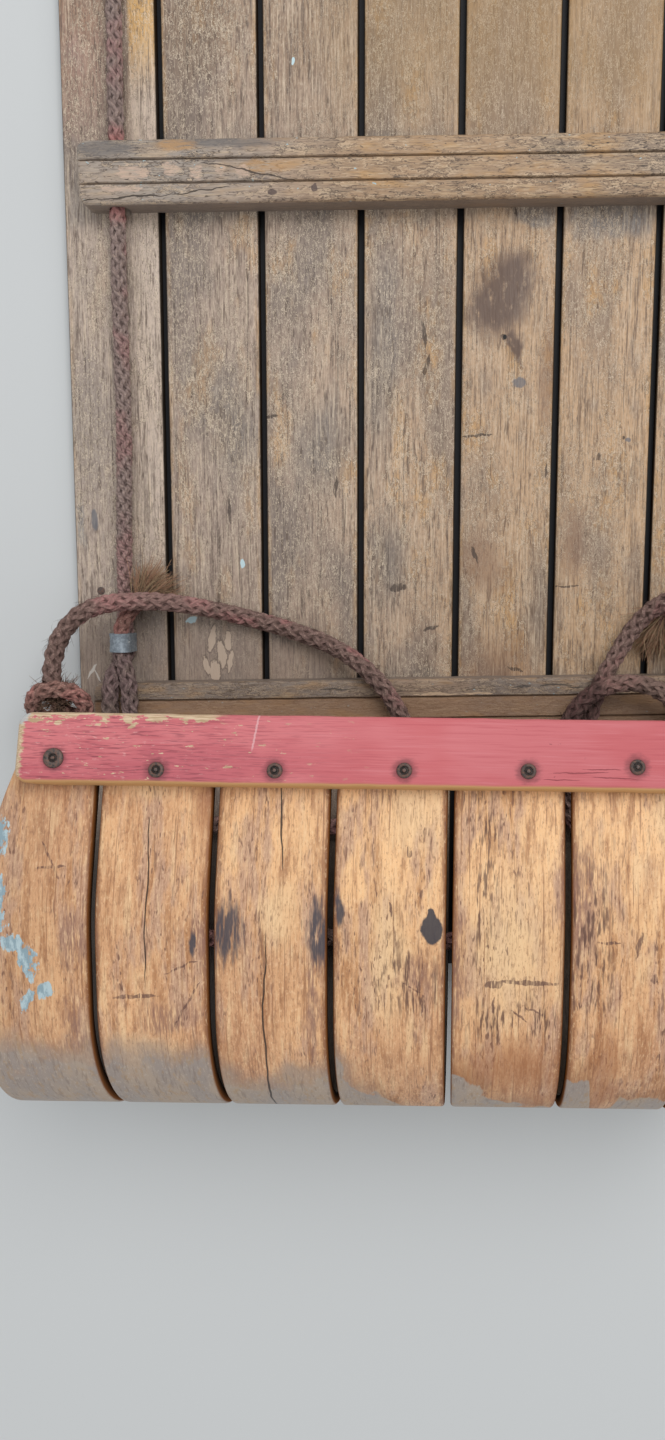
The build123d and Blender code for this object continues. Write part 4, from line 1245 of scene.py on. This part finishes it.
# Pull rope: the same plait, red once and faded to dusty pink and brown, with a knot at both ends.
# It lies over the deck and the front batten, turns inside the curl, and comes out and in again.
PULL = 0.006
KNOT_ROPE = 0.0056
PULL_ROUTE = (
    (-0.225, 0.016, 0.046), (-0.225, 0.0275, 0.044), (-0.2196, 0.0475, 0.041), (-0.205, 0.0621, 0.039),
    (-0.1845, 0.0675, 0.0365), (-0.161, 0.068, 0.031), (-0.136, 0.0645, 0.02), (-0.108, 0.058, 0.0148),
    (-0.077, 0.05, 0.0144), (-0.048, 0.04, 0.019), (-0.024, 0.0255, 0.0315), (-0.006, 0.005, 0.036),
    (0.003, -0.021, 0.031), (0.001, -0.048, 0.0185), (-0.016, -0.071, 0.0146), (-0.044, -0.084, 0.0144),
    (-0.073, -0.083, 0.0144), (-0.101, -0.078, 0.0144), (-0.128, -0.082, 0.0144), (-0.152, -0.09, 0.0144),
    (-0.167, -0.1105, 0.0144), (-0.167, -0.1355, 0.0146), (-0.152, -0.156, 0.0158), (-0.128, -0.164, 0.0172),
    (-0.098, -0.166, 0.0176), (-0.06, -0.159, 0.016), (-0.022, -0.163, 0.017), (0.018, -0.165, 0.0174),
    (0.052, -0.156, 0.0158), (0.078, -0.135, 0.0146), (0.091, -0.107, 0.0144), (0.092, -0.077, 0.015),
    (0.094, -0.048, 0.025), (0.1015, -0.022, 0.038), (0.1071, 0.001, 0.0445), (0.1225, 0.0164, 0.046),
    (0.1435, 0.022, 0.045), (0.1645, 0.0164, 0.0445), (0.1799, 0.001, 0.045), (0.186, -0.021, 0.043),
    (0.1895, -0.042, 0.032), (0.1905, -0.064, 0.0195), (0.1824, -0.087, 0.0146), (0.1624, -0.101, 0.0146),
    (0.1376, -0.101, 0.0146), (0.1176, -0.0865, 0.0146), (0.11, -0.063, 0.015), (0.114, -0.038, 0.0245),
    (0.118, -0.013, 0.0324), (0.124, 0.014, 0.033), (0.137, 0.037, 0.027), (0.151, 0.0595, 0.024),
    (0.166, 0.073, 0.0325), (0.185, 0.078, 0.041), (0.205, 0.073, 0.0425), (0.2198, 0.058, 0.0435),
    (0.225, 0.037, 0.0445), (0.225, 0.016, 0.046),
)
KNOT_ROUTE = (
    (0.2250, 0.0190, 0.0440), (0.2260, 0.0090, 0.0390), (0.2240, -0.0030, 0.0335), (0.2150, -0.0085, 0.0330),
    (0.2060, -0.0040, 0.0370), (0.2065, 0.0070, 0.0440), (0.2170, 0.0125, 0.0500), (0.2310, 0.0110, 0.0500),
    (0.2390, 0.0030, 0.0440), (0.2385, -0.0070, 0.0370), (0.2290, -0.0110, 0.0325), (0.2200, -0.0090, 0.0400),
    (0.2205, -0.0020, 0.0450),
)
pull_line = nurbs_line(placed(PULL_ROUTE, BATTEN_FRONT_Y, 1), 20)
pull_plait = rope_piece("pull_plait", pull_line, PULL, pull_fibre, "pull_rope", "pull_rope")
pull_fuzz = new_piece("pull_fuzz", fuzz(pull_line, PULL, 2600, 0.007), pull_fibre, "pull_rope")
knots = []
for side, hand in ((-1, "left"), (1, "right")):
    line = nurbs_line(placed(KNOT_ROUTE, BATTEN_FRONT_Y, side), 12)
    knots.append(
        rope_piece(f"knot_plait_{hand}", line, KNOT_ROPE, knot_fibre, "pull_rope", f"pull_knot_{hand}")
    )
    knots.append(new_piece(f"knot_fuzz_{hand}", fuzz(line, 0.0054, 420, 0.006), knot_fibre, "pull_rope"))
    heart = placed(
        [(0.223, 0.001 * step - 0.004, 0.029 + 0.0011 * step) for step in range(12)], BATTEN_FRONT_Y, side
    )
    tuft = brush([Vector(point) for point in heart], 0.0105, BRUSH_HAIRS, 0.010, 0.9)
    knots.append(new_piece(f"knot_tuft_{hand}", tuft, matted_fibre, "pull_rope"))
    shade_hairs(knots[-1], BRUSH_HAIRS)

# Studio: a plain pale floor, near black only under the boards as painted shade, so that their gaps read as
# deep, and soft light from the whole sky with a large lamp behind and to the right.
SHADE_PATCH = ((-0.2185, 0.2185), (-0.765, 0.812))
work = bmesh.new()
bmesh.ops.create_grid(work, x_segments=1, y_segments=1, size=30.0)
slice_bar(work, SHADE_PATCH[0], (1, 0, 0))
slice_bar(work, SHADE_PATCH[1], (0, 1, 0))
floor_mesh = bpy.data.meshes.new("floor")
for face in work.faces:
    face.material_index = int(face.calc_area() < 1.0)
work.to_mesh(floor_mesh)
work.free()
floor = bpy.data.objects.new("floor", floor_mesh)
bpy.context.collection.objects.link(floor)
# Pale floor paper is an even, bright and matt ground to the eye, and the ground under the boards a near-black
# painted shade.
for name, colour, rough in (("pale_floor_paper", "#cdcfcf", 0.9), ("painted_shade_ground", "#15151a", 0.6)):
    material, tree, shader = new_material(name)
    shader.inputs["Base Color"].default_value = linear(colour)
    shader.inputs["Roughness"].default_value = rough
    floor_mesh.materials.append(material)

world = bpy.data.worlds.new("studio")
bpy.context.scene.world = world
world.use_nodes = True
world.node_tree.nodes["Background"].inputs["Color"].default_value = linear("#f6f8fa")
world.node_tree.nodes["Background"].inputs["Strength"].default_value = 0.72
lamp_data = bpy.data.lights.new("sky_panel", "AREA")
lamp_data.shape = "DISK"
lamp_data.size = 2.2
lamp_data.energy = 50.0
lamp = bpy.data.objects.new("sky_panel", lamp_data)
bpy.context.collection.objects.link(lamp)
LAMP_PLACE = (1.0, 1.3, 2.6)
LAMP_FROM = Vector((1.0, 1.6, 2.6))
lamp.matrix_world = Matrix.Translation(LAMP_PLACE) @ LAMP_FROM.to_track_quat("Z", "Y").to_matrix().to_4x4()

# Camera: held over the front of the deck, nearly straight down, as the photograph was taken. The picture is a
# part of a larger one, so the lens is shifted.
CAMERA_PLACE = (0.0368, -0.499, 0.712)
CAMERA_TILT = radians(-7.42)
CAMERA_ROLL = radians(0.81)
camera_data = bpy.data.cameras.new("camera")
camera_data.lens = 26.25
camera_data.sensor_width = 36.0
camera_data.shift_x = -0.0896
camera = bpy.data.objects.new("camera", camera_data)
bpy.context.collection.objects.link(camera)
turn = Matrix.Rotation(CAMERA_TILT, 4, "X") @ Matrix.Rotation(CAMERA_ROLL, 4, "Z")
camera.matrix_world = Matrix.Translation(CAMERA_PLACE) @ turn
bpy.context.scene.camera = camera
bpy.context.scene.view_settings.view_transform = "Standard"
